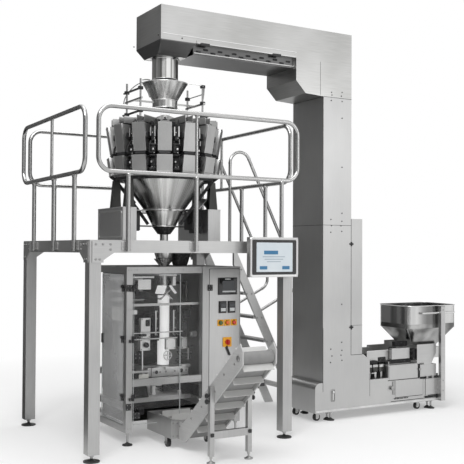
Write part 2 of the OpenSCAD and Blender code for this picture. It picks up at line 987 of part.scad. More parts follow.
module sealing_jaws() {
    color(steel)
        placed() {
            for (side = [-1, 1])
                block(axis_x - 200, axis_y + side * 60 - 30, 560, 400, 60, 80);
            for (x = [axis_x - 150, axis_x + 130])
                block(x, axis_y - 30, 580, 20, 60, 30);
            for (x = [axis_x - 170, axis_x + 110])
                block(x, axis_y + 90, 580, 40, back_y - axis_y - 90, 40);
        }
}

module bag_chute() {
    x0 = axis_x - 170;
    l = 340;
    color(steel)
        placed() {
            // Slanted plate that lets the bag slide on to the belt, on a bar between the side rails
            translate([x0, axis_y - 60, 350])
                rotate([62, 0, 0])
                    cube([l, 190, 5]);
            block(bagger_x + post_w, axis_y - 62, 326, cabinet_x - bagger_x - 2 * post_w, 30, 40);
        }
}

// Conveyor, drawn from its side in the Y-Z plane: a level part under the bagger
// from tail_y to knee_y, then a slope up to head_y
belt_x0 = conveyor_x - belt_w / 2;
belt_x1 = conveyor_x + belt_w / 2;
side_x0 = belt_x0 - belt_gap - conveyor_side_t;
side_x1 = belt_x1 + belt_gap + conveyor_side_t;
knee_y = head_y + (conveyor_top - conveyor_low) / tan(conveyor_slope);
tail_y = 500;
tail_roller_y = tail_y - roller_r - 15;
axle_d = 25;
head_roller_y = head_y + 60;

module across(x, w) {
    translate([x, 0, 0])
        rotate([90, 0, 90])
            linear_extrude(w)
                children();
}

function slope_z(y) = conveyor_low + (knee_y - y) * tan(conveyor_slope);

// Band of half depth s round the belt's middle line, between two places
module band(y0, y1, s) {
    up = s / cos(conveyor_slope);
    knee = s * tan(conveyor_slope / 2);
    back = s * sin(conveyor_slope);
    polygon([[y1, conveyor_low - s], [y1, conveyor_low + s], [knee_y + knee, conveyor_low + s],
        [y0 + back, slope_z(y0 + back) + up], [y0 - back, slope_z(y0 - back) - up],
        [knee_y - knee, conveyor_low - s]]);
}

// Half of the belt's wrap round an end roller, open towards +X
module wrap() {
    difference() {
        circle(r = roller_r + belt_t);
        circle(r = roller_r);
        translate([0, -2 * roller_r])
            square(4 * roller_r);
    }
}

module conveyor_sides() {
    s = conveyor_side_h / 2;
    up = s / cos(conveyor_slope);
    knee = s * tan(conveyor_slope / 2);
    nose = head_y + 40;
    color(steel)
        placed() {
            difference() {
                for (x = [side_x0, side_x1 - conveyor_side_t])
                    across(x, conveyor_side_t)
                        polygon([[tail_y, conveyor_low - s], [tail_y, conveyor_low + s],
                            [knee_y + knee, conveyor_low + s], [nose, slope_z(nose) + up],
                            [head_y, slope_z(nose) + up - 55], [head_y, slope_z(head_y) - up],
                            [knee_y - knee, conveyor_low - s]]);
                rod_x(side_x0 - 10, head_roller_y, slope_z(head_roller_y), axle_d + 1,
                    side_x1 - side_x0 + 20);
                rod_x(side_x0 - 10, tail_roller_y, conveyor_low, axle_d + 1,
                    side_x1 - side_x0 + 20);
            }
        }
}

module cleat() {
    polygon([[-3, 0], [3, 0], [3, cleat_h], [-3, cleat_h]]);
}

module conveyor_belt() {
    r = roller_r + belt_t;
    low_n = floor((tail_roller_y - knee_y - 160) / cleat_pitch);
    up_n = floor((knee_y - head_roller_y) / cos(conveyor_slope) / cleat_pitch) - 1;
    color("white")
        placed()
            across(belt_x0, belt_w) {
                difference() {
                    band(head_roller_y, tail_roller_y, r);
                    band(head_roller_y - 20, tail_roller_y + 20, roller_r);
                }
                translate([head_roller_y, slope_z(head_roller_y)])
                    rotate(-conveyor_slope)
                        wrap();
                translate([tail_roller_y, conveyor_low])
                    rotate(180)
                        wrap();
                for (side = [-1, 1]) {
                    for (i = [0:low_n])
                        translate([tail_roller_y - i * cleat_pitch, conveyor_low + side * (r - 1)])
                            rotate(side > 0 ? 0 : 180)
                                cleat();
                    for (i = [0:up_n])
                        translate([head_roller_y, slope_z(head_roller_y)])
                            rotate(-conveyor_slope)
                                translate([20 + i * cleat_pitch, side * (r - 1)])
                                    rotate(side > 0 ? 0 : 180)
                                        cleat();
                }
            }
}

module conveyor_rollers() {
    bed = roller_r;
    color(steel)
        placed() {
            across(side_x0 + conveyor_side_t, side_x1 - side_x0 - 2 * conveyor_side_t)
                difference() {
                    band(head_roller_y + 90, tail_roller_y - 60, bed);
                    band(head_roller_y + 40, tail_roller_y + 20, bed - 5);
                }
            for (p = [[head_roller_y, slope_z(head_roller_y)], [tail_roller_y, conveyor_low]]) {
                rod_x(belt_x0 + 4, p[0], p[1], 2 * roller_r - 3, belt_w - 8);
                rod_x(side_x0 - 8, p[0], p[1], axle_d, side_x1 - side_x0 + 16);
            }
        }
}

motor_y = head_y + 320;

module conveyor_motor() {
    z = slope_z(motor_y);
    color(black)
        placed() {
            block(side_x1, motor_y - 45, z - 55, 62, 90, 100);
            rod_z(side_x1 + 40, motor_y, z + 45, 76, 120);
        }
}

stand_y = head_y + 430;
box_x0 = side_x0 - 75;
box_x1 = side_x1 + 52;
box_y0 = 75;
box_y1 = 568;
box_z = 88;
fork_y = 190;

module wheel_places() {
    for (x = [box_x0 + 4, box_x1 - wheel_w - 2 * wheel_gap - 10])
        translate([x, fork_y, 0])
            children();
}

module conveyor_stand() {
    color(steel)
        placed() {
            for (x = [side_x0 - 40, side_x1])
                translate([x, stand_y, 0]) {
                    block(0, 0, 60, 40, 40, slope_z(stand_y) - 20);
                    translate([20, 20, 0])
                        levelling_foot(60, 70, 16);
                }
            block(side_x0, stand_y, 200, side_x1 - side_x0, 40, 60);
            // Wide box round the receiving end, open at the top
            difference() {
                block(box_x0, box_y0, box_z, box_x1 - box_x0, box_y1 - box_y0, 160);
                block(box_x0 + 3, box_y0 + 3, box_z - 1, box_x1 - box_x0 - 6, box_y1 - box_y0 - 6, 162);
                block(side_x0, box_y0 - 1, box_z - 1, side_x1 - side_x0, 5, 162);
            }
            for (y = [box_y0 + 3, fork_y - 20, tail_y - 43])
                for (x = [box_x0 + 3, side_x1])
                    block(x, y, box_z, x < conveyor_x ? side_x0 - box_x0 - 3 : box_x1 - side_x1 - 3, 40, 4);
            wheel_places() {
                for (x = [0, wheel_w + 2 * wheel_gap + 3])
                    block(x, -22, wheel_d / 2 - 12, 3, 44, box_z - wheel_d / 2 + 12);
                rod_x(1, 0, wheel_d / 2, 8, wheel_w + 2 * wheel_gap + 4);
            }
        }
}

module conveyor_wheel(i) {
    x = i == 0 ? box_x0 + 4 : box_x1 - wheel_w - 2 * wheel_gap - 10;
    color(black)
        placed()
            translate([x + 3 + wheel_gap, fork_y, wheel_d / 2])
                rotate([0, 90, 0])
                    difference() {
                        cylinder(d = wheel_d, h = wheel_w);
                        translate([0, 0, -1])
                            cylinder(d = 8.6, h = wheel_w + 2);
                    }
}

// Bucket elevator: a housing drawn as outlines in the X-Z plane, elevator_d deep
arm_x0 = axis_x - 175;
column_r = column_x + column_w;
arm_low = arm_top - arm_h;
boot_z = 650;
knee_l = 337;
knee_h = 353;
lower_z = 350;
base_r = base_x + base_l;

module housing() {
    translate([0, elevator_y + elevator_d, 0])
        rotate([90, 0, 0])
            linear_extrude(elevator_d)
                children();
}

module elevator_column() {
    color(steel)
        placed()
            housing()
                translate([column_x, boot_z])
                    square([column_w, arm_low - knee_h - boot_z]);
}

module elevator_arm() {
    color(steel)
        placed() {
            housing()
                polygon([[arm_x0, arm_low], [arm_x0, arm_top], [column_r, arm_top],
                    [column_r, arm_low - knee_h], [column_x, arm_low - knee_h],
                    [column_x - knee_l + 115, arm_low - knee_h + 12],
                    [column_x - knee_l, arm_low - knee_h + 130], [column_x - knee_l, arm_low]]);
            // Drip channel under the arm
            block(arm_x0 + 350, elevator_y + 40, arm_low - 100, column_x - knee_l - arm_x0 - 350,
                elevator_d - 80, 100);
        }
}

module elevator_head() {
    outlet_z = arm_low - 120;
    color(steel)
        placed() {
            hull() {
                block(arm_x0, elevator_y, arm_low - 10, 350, elevator_d, 10);
                block(axis_x - spout_d / 2 - 25, axis_y - spout_d / 2 - 25, outlet_z, spout_d + 50,
                    spout_d + 50, 10);
            }
            on_axis()
                funnel(spout_d / 2, spout_d / 2, arm_low - 320, outlet_z);
        }
}

// Boot and long base with the well that the buckets pass through
module elevator_base() {
    well_l = 254;
    boot_r = column_r + 248;
    wall = 12;
    corner = 60;
    color(steel)
        placed() {
            housing()
                difference() {
                    polygon([[column_x, base_z], [column_x, boot_z], [column_r + 164, boot_z],
                        [boot_r, boot_z - 67], [boot_r, lower_z], [base_r, lower_z], [base_r, base_z]]);
                    translate([boot_r + well_l + 560, base_z + 60])
                        square([base_r - boot_r - well_l - 560 - 60, lower_z - base_z - 100]);
                }
            // Bulged guard at the foot of the column's left side
            housing() {
                translate([base_x, base_z])
                    square([column_x - base_x, 300 - corner]);
                translate([base_x + corner, base_z])
                    square([column_x - base_x - corner, 300]);
                translate([base_x + corner, base_z + 300 - corner])
                    circle(r = corner);
            }
            // Well: two side walls, with the buckets' track between them
            for (y = [elevator_y, elevator_y + elevator_d - wall])
                block(boot_r, y, lower_z, well_l, wall, 30);
            block(boot_r, elevator_y + 120, lower_z, well_l, elevator_d - 240, 110);
            for (i = [0:2])
                block(boot_r + 14 + i * 80, elevator_y + 60, lower_z + 110, 64, elevator_d - 120, 60);
            for (i = [0:2])
                block(boot_r + 14 + i * 80 + 20, elevator_y + 60, lower_z, 24, elevator_d - 120, 110);
            // Feeder's support boxes
            block(boot_r + well_l, elevator_y, lower_z, 436, elevator_d, 160);
            block(boot_r + well_l + 446, elevator_y, lower_z, 231, elevator_d, 140);
        }
}

module elevator_duct() {
    color(steel)
        placed()
            block(column_r, elevator_y, boot_z, 145, elevator_d, 1400);
}

caster_x = [base_x + 60, base_x + base_l - 300];
caster_y = [elevator_y + 90, elevator_y + elevator_d - 90];
caster_places = [for (x = caster_x, y = caster_y) [x, y]];
caster_trail = 20;

module caster_fork(i) {
    fork_in = wheel_w / 2 + wheel_gap;
    color(steel)
        placed()
            translate([caster_places[i][0], caster_places[i][1], 0]) {
                rod_z(0, 0, wheel_d + wheel_gap + 3, 50, base_z - wheel_d - wheel_gap - 3 - 0.3);
                for (side = [-1, 1])
                    block(-20 + caster_trail, side > 0 ? fork_in : -fork_in - 3, wheel_d / 2 - 10, 40, 3,
                        wheel_d / 2 + wheel_gap + 10);
                block(-25, -fork_in - 3, wheel_d + wheel_gap, 25 + caster_trail + 20, 2 * fork_in + 6, 3);
                translate([caster_trail, -fork_in, wheel_d / 2])
                    rotate([-90, 0, 0])
                        cylinder(d = 8, h = 2 * fork_in);
            }
}

module caster_wheel(i) {
    color(black)
        placed()
            translate([caster_places[i][0] + caster_trail, caster_places[i][1] - wheel_w / 2, wheel_d / 2])
                rotate([-90, 0, 0])
                    difference() {
                        cylinder(d = wheel_d, h = wheel_w);
                        translate([0, 0, -1])
                            cylinder(d = 8.1, h = wheel_w + 2);
                    }
}

// Infeed hopper and its vibrating tray
hopper_x = infeed_x + infeed_l / 2;
wall_z = infeed_top - infeed_wall;
outlet_l = 350;
outlet_w = 230;
outlet_z = wall_z - 200;

module rounded(l, w, r) {
    for (x = [-l / 2 + r, l / 2 - r], y = [-w / 2 + r, w / 2 - r])
        translate([x, y])
            circle(r = r);
    square([l - 2 * r, w], center = true);
    square([l, w - 2 * r], center = true);
}

module infeed_cup(inset) {
    translate([hopper_x, axis_y, 0]) {
        translate([0, 0, wall_z])
            linear_extrude(infeed_wall + inset)
                rounded(infeed_l - 2 * inset, infeed_w - 2 * inset, infeed_corner - inset);
        hull() {
            translate([0, 0, wall_z])
                linear_extrude(1)
                    rounded(infeed_l - 2 * inset, infeed_w - 2 * inset, infeed_corner - inset);
            translate([-outlet_l / 2 + inset, -outlet_w / 2 + inset, outlet_z - inset])
                cube([outlet_l - 2 * inset, outlet_w - 2 * inset, 1]);
        }
    }
}

module infeed_hopper() {
    color(steel)
        placed()
            difference() {
                infeed_cup(0);
                infeed_cup(sheet_t);
            }
}

// Tray on the feeder, open towards the well, with side sheets and the hopper's post
module vibrating_tray() {
    tray_z = lower_z + 190;
    tray_x0 = column_r + 300;
    sheet_x0 = hopper_x - outlet_l / 2 - 75;
    sheet_x1 = base_r - 80;
    post_x = base_r - 60;
    color(steel)
        placed() {
            difference() {
                block(tray_x0, axis_y - 160, tray_z, hopper_x + 180 - tray_x0, 320, 120);
                block(tray_x0 - 1, axis_y - 156, tray_z + sheet_t, hopper_x + 177 - tray_x0, 312, 120);
            }
            // Feeder's drive under the tray, and its rubber-mounted feet
            block(tray_x0 + 260, axis_y - 200, tray_z - 30, 300, 400, 30);
            // Side sheets from the support boxes to the hopper's slope
            for (y = [elevator_y, elevator_y + elevator_d - 6])
                translate([0, y + 6, 0])
                    rotate([90, 0, 0])
                        linear_extrude(6)
                            polygon([[sheet_x0, lower_z + 160], [sheet_x0, outlet_z + 30],
                                [sheet_x1, outlet_z + 30], [sheet_x1, lower_z + 260],
                                [sheet_x1 - 70, lower_z + 140], [sheet_x0 + 96, lower_z + 140],
                                [sheet_x0 + 96, lower_z + 160]]);
            // Corner posts that carry the hopper
            for (y = [elevator_y - 60, elevator_y + elevator_d + 20]) {
                block(post_x, y, base_z, 60, 40, infeed_top - base_z - 8);
                block(post_x, y < axis_y ? y + 40 : elevator_y + elevator_d, base_z, 60, 20, lower_z - base_z);
            }
            for (y = [elevator_y - 20, elevator_y + elevator_d - 5])
                block(hopper_x - 200, y, infeed_top - 90, 480, 25, 20);
        }
}

platform_legs();
levelling_feet();
platform_beams_front_back();
platform_beams_sides();
deck_plates();
corner_gussets();
handrail_front();
handrail_left();
handrail_back();
handrail_right();
handrail_posts();
ladder_stringers();
ladder_treads();
ladder_handrails();
weigher_stand();
weigher_body();
feeder_pans();
feed_hoppers();
weigh_hoppers();
collecting_cone();
outlet_funnel();
infeed_funnel();
funnel_posts();
operator_panel();
bagger_posts();
bagger_rails();
front_panel();
control_cabinet();
cabinet_controls();
main_switch();
front_door();
side_door();
forming_tube();
film_carriage();
pull_belts();
sealing_jaws();
bag_chute();
conveyor_sides();
conveyor_belt();
conveyor_rollers();
conveyor_motor();
conveyor_stand();
conveyor_wheel(0);  // conveyor_wheel_1
conveyor_wheel(1);  // conveyor_wheel_2
elevator_column();
elevator_arm();
elevator_head();
elevator_base();
elevator_duct();
infeed_hopper();
vibrating_tray();
caster_fork(0);  // caster_fork_1
caster_fork(1);  // caster_fork_2
caster_fork(2);  // caster_fork_3
caster_fork(3);  // caster_fork_4
caster_wheel(0);  // caster_wheel_1
caster_wheel(1);  // caster_wheel_2
caster_wheel(2);  // caster_wheel_3
caster_wheel(3);  // caster_wheel_4
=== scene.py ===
"""Multihead weighing and bagging line: steel platform, vertical bagger, 14-head weigher,
bucket elevator and take-away conveyor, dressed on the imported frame."""
import math
import bpy
import numpy as np
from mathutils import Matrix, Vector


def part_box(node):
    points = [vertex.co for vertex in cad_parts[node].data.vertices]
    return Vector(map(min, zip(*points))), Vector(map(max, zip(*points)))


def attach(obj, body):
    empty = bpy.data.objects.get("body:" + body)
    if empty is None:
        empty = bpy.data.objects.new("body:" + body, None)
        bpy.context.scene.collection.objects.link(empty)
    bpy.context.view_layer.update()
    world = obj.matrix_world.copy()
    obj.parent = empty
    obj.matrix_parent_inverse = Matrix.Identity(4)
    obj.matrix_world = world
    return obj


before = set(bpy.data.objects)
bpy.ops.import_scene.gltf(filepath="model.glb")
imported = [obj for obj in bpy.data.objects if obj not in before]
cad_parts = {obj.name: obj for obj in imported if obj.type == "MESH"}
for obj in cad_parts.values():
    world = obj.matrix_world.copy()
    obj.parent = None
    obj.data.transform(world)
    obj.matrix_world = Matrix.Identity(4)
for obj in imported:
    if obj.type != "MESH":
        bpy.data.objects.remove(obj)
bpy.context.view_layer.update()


# Camera and room. The camera stands left of the platform's front at eye height. The room is
# white all round, as the photo's background is. Cards and a mat that only reflections see
# shade the sheet metal, and a small lamp puts a bright band on the elevator's column.
PLAN_X, PLAN_Y = np.array(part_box("platform_legs")[0])[:2] * 1000 + 50


def at(x, y, z):
    """Place in metres of a plan point in mm: X and Y from the front-left leg's centre."""
    return np.array([(PLAN_X + x) / 1000, (PLAN_Y + y) / 1000, z / 1000])


CAMERA_AT = (-2568, -6577, 1723)
YAW, PITCH, ROLL = -0.533, 0.021, -0.005
LENS_MM = 66.4

eye = bpy.data.cameras.new("eye")
eye.lens = LENS_MM
eye.sensor_width = 36
eye.clip_end = 80
camera = bpy.data.objects.new("camera", eye)
camera.location = at(*CAMERA_AT)
camera.rotation_mode = "XYZ"
camera.rotation_euler = (math.pi / 2 + PITCH, ROLL, YAW)
bpy.context.collection.objects.link(camera)
bpy.context.scene.camera = camera
bpy.context.scene.view_settings.view_transform = "Standard"


class Sock:
    """One socket of a shader tree. Python's + - * between sockets and numbers make Math
    nodes, and node() makes any other node and gives its named output."""
    tree = None

    def __init__(self, out):
        self.out = out

    @classmethod
    def node(cls, kind, out, settings=None, **values):
        made = cls.tree.nodes.new("ShaderNode" + kind)
        for key, value in (settings or {}).items():
            setattr(made, key, value)
        for key, value in values.items():
            cls.put(made.inputs[int(key[1:])] if key[0] == "_" else made.inputs[key.replace("_", " ")],
                value)
        return cls(made.outputs[out])

    @classmethod
    def put(cls, socket, value):
        """Link value to socket if it is a Sock, or else make it the socket's constant."""
        if isinstance(value, Sock):
            cls.tree.links.new(value.out, socket)
        else:
            socket.default_value = value

    def maths(self, how, other, swap=False):
        pair = (other, self) if swap else (self, other)
        return Sock.node("Math", 0, {"operation": how}, _0=pair[0], _1=pair[1])

    def __add__(self, other):
        return self.maths("ADD", other)

    def __radd__(self, other):
        return self.maths("ADD", other, True)

    def __sub__(self, other):
        return self.maths("SUBTRACT", other)

    def __rsub__(self, other):
        return self.maths("SUBTRACT", other, True)

    def __mul__(self, other):
        return self.maths("MULTIPLY", other)

    def most(self, other):
        return self.maths("MAXIMUM", other)

    def between(self, low, high):
        return Sock.node("MapRange", 0, {"clamp": True}, Value=self, From_Min=low, From_Max=high)


def seen():
    """1 for rays from the camera, off metal and through glass, 0 for light on the object."""
    camera_ray, glossy, through = [Sock.node("LightPath", "Is %s Ray" % kind)
        for kind in ("Camera", "Glossy", "Transmission")]
    return camera_ray.most(glossy).most(through)


def shade(tree, **values):
    """Set inputs of the tree's own shader, whose names take _ for a blank, and give the shader."""
    Sock.tree = tree
    shader = tree.nodes["Principled BSDF"]
    for key, value in values.items():
        Sock.put(shader.inputs[key.replace("_", " ")], value)
    return shader


ROOM_GREY = 0.6
world = bpy.data.worlds.new("room")
bpy.context.scene.world = world
world.use_nodes = True
Sock.tree = world.node_tree
world.node_tree.nodes.clear()
ambient = Sock.node("Background", 0, Color=(ROOM_GREY, ROOM_GREY, ROOM_GREY, 1))
white = Sock.node("Background", 0, Color=(1, 1, 1, 1))
room = Sock.node("MixShader", 0, _0=seen(), _1=ambient, _2=white)
sky = world.node_tree.nodes.new("ShaderNodeOutputWorld")
world.node_tree.links.new(room.out, sky.inputs["Surface"])


def lamp(name, place, aim, size, watts):
    """Square area lamp at place, turned to face aim."""
    light = bpy.data.lights.new(name, "AREA")
    light.size = size
    light.energy = watts
    obj = bpy.data.objects.new(name, light)
    way = np.array(aim, float) - np.array(place, float)
    flat = math.hypot(way[0], way[1])
    obj.location = place
    obj.rotation_euler = (math.pi / 2 + math.atan2(way[2], flat), 0, math.atan2(-way[0], way[1]))
    bpy.context.collection.objects.link(obj)


MIDDLE = at(1500, 600, 1500)
lamp("key_lamp", at(-2500, -4500, 8500), MIDDLE, 4.0, 420)
lamp("top_lamp", at(1500, 400, 8600), MIDDLE, 5.0, 200)
lamp("sheen_lamp", at(7700, -8320, 3950), at(2788, 390, 2750), 1.5, 40)


def studio_sheet(name, corners):
    """Flat four-cornered sheet of the studio, with a material of its own."""
    mesh = bpy.data.meshes.new(name)
    mesh.from_pydata([at(*c).tolist() for c in corners], [], [(0, 1, 2, 3)])
    obj = bpy.data.objects.new(name, mesh)
    bpy.context.collection.objects.link(obj)
    mat = bpy.data.materials.new(name)
    mat.use_nodes = True
    mesh.materials.append(mat)
    return obj, mat.node_tree


FLOOR_REACH = 24000
tree = studio_sheet("floor", [(-FLOOR_REACH, -FLOOR_REACH, 0), (FLOOR_REACH, -FLOOR_REACH, 0),
    (FLOOR_REACH, FLOOR_REACH, 0), (-FLOOR_REACH, FLOOR_REACH, 0)])[1]
paint = shade(tree, Base_Color=(0.93, 0.93, 0.93, 1), Roughness=0.8, Specular_IOR_Level=0.1)
away = Sock.node("VectorMath", "Value", {"operation": "LENGTH"}, _0=Sock.node("TexCoord", "Object"))
SHADOW_REACH, WHITE_FROM, LEAST_GLOW = 2.8, 6.5, 0.28
glow = seen() * (away.between(SHADOW_REACH, WHITE_FROM) * (1 - LEAST_GLOW) + LEAST_GLOW)
lit = Sock.node("MixShader", 0, _0=glow, _1=Sock(paint.outputs[0]), _2=Sock.node("Emission", 0))
tree.links.new(lit.out, tree.nodes["Material Output"].inputs["Surface"])

CARD_FOOT, CARD_TOP, MAT_Z = -200, 7500, 2
for name, grey, corners in (("dark_card", 0.16, ((-6500, 2400), (3400, 11500))),
        ("grey_card", 0.3, ((-3800, -9400), (-6500, 2300))), ("right_card", 0.03,
        ((9500, 900), (7500, 12500))), ("dark_mat", 0.03, ((-6500, 2400), (-900, 300), (1100, 2600),
        (3400, 11500)))):
    upright = [(*corners[i], z) for i, z in ((0, CARD_FOOT), (1, CARD_FOOT), (1, CARD_TOP), (0, CARD_TOP))]
    card, tree = studio_sheet(name, upright if len(corners) == 2 else [(*c, MAT_Z) for c in corners])
    card.visible_camera = card.visible_shadow = card.visible_diffuse = card.visible_transmission = False
    shade(tree, Base_Color=(grey, grey, grey, 1), Roughness=1.0)


# Platform: legs and beams of bead-blasted box section, plain deck plates, gussets bolted over
# the corners, and levelling feet with black pads.
def noise(size, detail=3.0, stretch=(1, 1, 1)):
    """Cloudy pattern between 0 and 1 that follows the piece; size is its count per metre."""
    seat = Sock.node("Mapping", 0, Vector=Sock.node("TexCoord", "Object"), Scale=stretch)
    return Sock.node("TexNoise", "Fac", Vector=seat, Scale=size, Detail=detail)


def two_tone(low, high, fac):
    """Colour between low and high as fac goes from 0 to 1; either may be a socket."""
    low, high = [c if isinstance(c, Sock) else (*c, 1) for c in (low, high)]
    return Sock.node("Mix", 2, {"data_type": "RGBA"}, _0=fac, _6=low, _7=high)


def coordinate(axis):
    """The piece's own X, Y or Z (axis 0, 1 or 2) in metres."""
    return Sock.node("SeparateXYZ", axis, _0=Sock.node("TexCoord", "Object"))


def material(name, build, metallic=0.0, coat=0.0):
    """Material whose Base Color, Roughness and Normal come from build(), which gives
    (colour, roughness, bump height, bump distance in metres)."""
    mat = bpy.data.materials.new(name)
    mat.use_nodes = True
    Sock.tree = mat.node_tree
    colour, rough, height, reach = build()
    shade(mat.node_tree, Base_Color=colour, Roughness=rough, Coat_Weight=coat,
        Metallic=metallic() if callable(metallic) else metallic, Normal=Sock.node("Bump", 0, Height=height,
        Distance=reach, Strength=1.0))
    return mat


def brushed(name, low, high, grain=(1, 1, 1), rough=0.3, soil=0.2):
    """Stainless steel: fine lines along the grain, where the stretch is small, with soft
    clouds and smears from handling."""
    def build():
        lines = noise(240, 2.0, grain)
        clouds = noise(1.4, 3.0)
        smears = noise(9, 4.0, (1, 1, 0.4))
        tone = (lines * 0.32 + clouds * (0.68 - soil) + smears * soil).between(0.33, 0.68)
        return (two_tone((low,) * 3, (high, high, high - 0.006), tone), rough + lines * 0.1 + smears * 0.1,
            lines, 0.00005)
    return material(name, build, 1.0)


def plain(name, low, high, rough=0.5, depth=0.0001, coat=0.0):
    """Moulded plastic, rubber or paint: an even colour with a fine skin texture."""
    def build():
        skin = noise(1000, 2.0)
        return two_tone(low, high, noise(5, 2.0)), rough + skin * 0.08, skin, depth
    return material(name, build, 0.0, coat)


def wear(mat, *nodes):
    """The CAD nodes' own meshes take this material."""
    for node in nodes:
        obj = bpy.data.objects[node] if node in bpy.data.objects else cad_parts[node]
        obj.data.materials.clear()
        obj.data.materials.append(mat)


UPRIGHT, LEVEL = (1, 1, 0.02), (0.02, 0.02, 1)
beaded = brushed("beaded_stainless", 0.4, 0.54, UPRIGHT, 0.36)
beam_steel = brushed("beam_stainless", 0.44, 0.58, LEVEL, 0.34)
wear(beaded, "platform_legs")
wear(beam_steel, "platform_beams_front_back", "platform_beams_sides", "deck_plates", "corner_gussets")

FOOT_PAD_TOP = 0.03


def above_pad():
    """0 in a foot's rubber pad, 1 in the steel above it."""
    return coordinate(2).between(FOOT_PAD_TOP, FOOT_PAD_TOP + 0.002)


def foot_build():
    """Black rubber pad under turned steel."""
    grain = noise(300, 2.0)
    return two_tone((0.03, 0.03, 0.03), (0.45, 0.45, 0.45), above_pad()), 0.45 + grain * 0.1, grain, 0.00005


wear(material("levelling_foot", foot_build, above_pad), "levelling_feet")


def closed(rings, endless=False):
    """Skin over a stack of rings, an array of rows x points x 3: a quad between each four
    neighbours, round and up. One flat face covers each end; an endless stack, whose last
    ring joins the first, has none."""
    rows, n = rings.shape[:2]
    r, c = np.meshgrid(np.arange(rows if endless else rows - 1), np.arange(n), indexing="ij")
    low, high, c1 = r * n, (r + 1) % rows * n, (c + 1) % n
    quads = np.stack([low + c, low + c1, high + c1, high + c], -1).reshape(-1, 4)
    return (rings.reshape(-1, 3), quads, [] if endless else [np.arange(n)[::-1],
        (rows - 1) * n + np.arange(n)])


SHARP_ANGLE = 0.6
SLOTS = {"black_plastic": ("black_plastic", "drive_castings", "screen_black", "screen_page", "screen_blue",
    "screen_grey", "display_grey"), "red_plastic": ("switch_yellow", "start_button", "stop_button",
    "halt_button"), "white_belt": ("ivory_plate", "display_white"), "rubber": ("black_rubber",),
    "clear_plastic": ("polished_acrylic_edge",)}
SLOT_OF = {mat: slot for slot, mats in SLOTS.items() for mat in mats}


def piece(name, parts, mat, body="line", slot=None):
    """One object of several closed parts drawn in plan mm, riding on a body. A slot is worked out
    from its material if none is given, but nothing keeps it; Blender may have put .001 after a material's
    name."""
    slot = slot or SLOT_OF.get(mat.name.split(".")[0], "stainless")
    starts = np.cumsum([0] + [len(points) for points, _, _ in parts])
    points = np.concatenate([p for p, _, _ in parts])
    faces = np.concatenate([q + s for (_, q, _), s in zip(parts, starts)]).tolist()
    faces += [(cap + s).tolist() for (_, _, caps), s in zip(parts, starts) for cap in caps]
    mesh = bpy.data.meshes.new(name)
    mesh.from_pydata(((points + (PLAN_X, PLAN_Y, 0)) / 1000).tolist(), [], faces)
    mesh.shade_smooth()
    mesh.set_sharp_from_angle(angle=SHARP_ANGLE)
    mesh.materials.append(mat)
    obj = bpy.data.objects.new(name, mesh)
    bpy.context.collection.objects.link(obj)
    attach(obj, body)


def axes(out):
    """Across, up and out directions of a face: right-handed, up as near to Z as it goes."""
    w = np.array(out, float) / np.linalg.norm(out)
    v = np.array((0, 1, 0) if abs(w[2]) > 0.99 else (0, 0, 1), float)
    v -= w * np.dot(v, w)
    v /= np.linalg.norm(v)
    return np.cross(v, w), v, w


def turned(place, out, rows, n=18, endless=False):
    """Lathe part: a circle of n points for each (radius, height) row, along out from place.
    Endless rows go up outside and come back down inside."""
    u, v, w = axes(out)
    t = np.arange(n) * 2 * np.pi / n
    circle = np.cos(t)[:, None] * u + np.sin(t)[:, None] * v
    r, h = np.array(rows, float).T
    return closed(np.array(place, float) + r[:, None, None] * circle + h[:, None, None] * w, endless)


def rounded(size, corner, k):
    """Loop of a rounded rectangle as points x 2, k steps round each corner."""
    turn = ((np.arange(4)[:, None] + np.linspace(0, 1, k + 1)) * np.pi / 2).ravel()
    side = np.repeat(np.array([(1, 1), (-1, 1), (-1, -1), (1, -1)]), k + 1, axis=0)
    return side * (np.array(size) / 2 - corner) + corner * np.stack([np.cos(turn), np.sin(turn)], -1)


def plate(foot, edge, *bevel):
    """A slab's rows: a straight side from foot to edge, and a bevel's inset and top."""
    return [(0, foot), (0, edge)] + [bevel] * bool(bevel)


def slab(place, out, size, rows, corner=3.0, k=2):
    """Rounded plate facing out: a rounded rectangle, size wide and high, pulled in by each
    row's inset and set at its height along out."""
    u, v, w = axes(out)
    loops = [rounded((size[0] - 2 * i, size[1] - 2 * i), max(corner - i, 0.2), k) for i, _ in rows]
    return closed(np.array([np.array(place, float) + loop[:, :1] * u + loop[:, 1:] * v + h * w
        for loop, (_, h) in zip(loops, rows)]))


def slabs(out, rows, corner, *table):
    """A slab for each x, y, z, width and height of the table, all facing out."""
    return [slab(line[:3], out, line[3:], rows, corner) for line in table]


def along(path):
    """Direction of a path at each of its points."""
    t = np.gradient(path, axis=0)
    return t / np.linalg.norm(t, axis=1, keepdims=True)


def bar(path, radius, n=10):
    """Round bar: a circle of n points at each point of path, square to the path there."""
    p = np.array(path, float)
    t = along(p)
    u = np.cross(t, np.eye(3)[np.argmin(np.abs(t).mean(axis=0))])
    u /= np.linalg.norm(u, axis=1, keepdims=True)
    a = np.arange(n) * 2 * np.pi / n
    ring = np.cos(a)[None, :, None] * u[:, None] + np.sin(a)[None, :, None] * np.cross(t, u)[:, None]
    return closed(p[:, None] + radius * ring)


def curve(points, steps=14):
    """Smooth line from the first point to the last: the Bezier curve that points control."""
    t = np.linspace(0, 1, steps)[:, None]
    n = len(points) - 1
    return sum(math.comb(n, i) * t ** i * (1 - t) ** (n - i) * np.array(p, float)
        for i, p in enumerate(points))


def sheet(path, across, thick):
    """Bent sheet: a flat section, across to each side and thick, carried along path."""
    p = np.array(path, float)
    wide = np.array(across, float)
    n = np.cross(along(p), wide / np.linalg.norm(wide)) * thick / 2
    return closed(np.stack([p + wide + n, p - wide + n, p - wide - n, p + wide - n], 1))


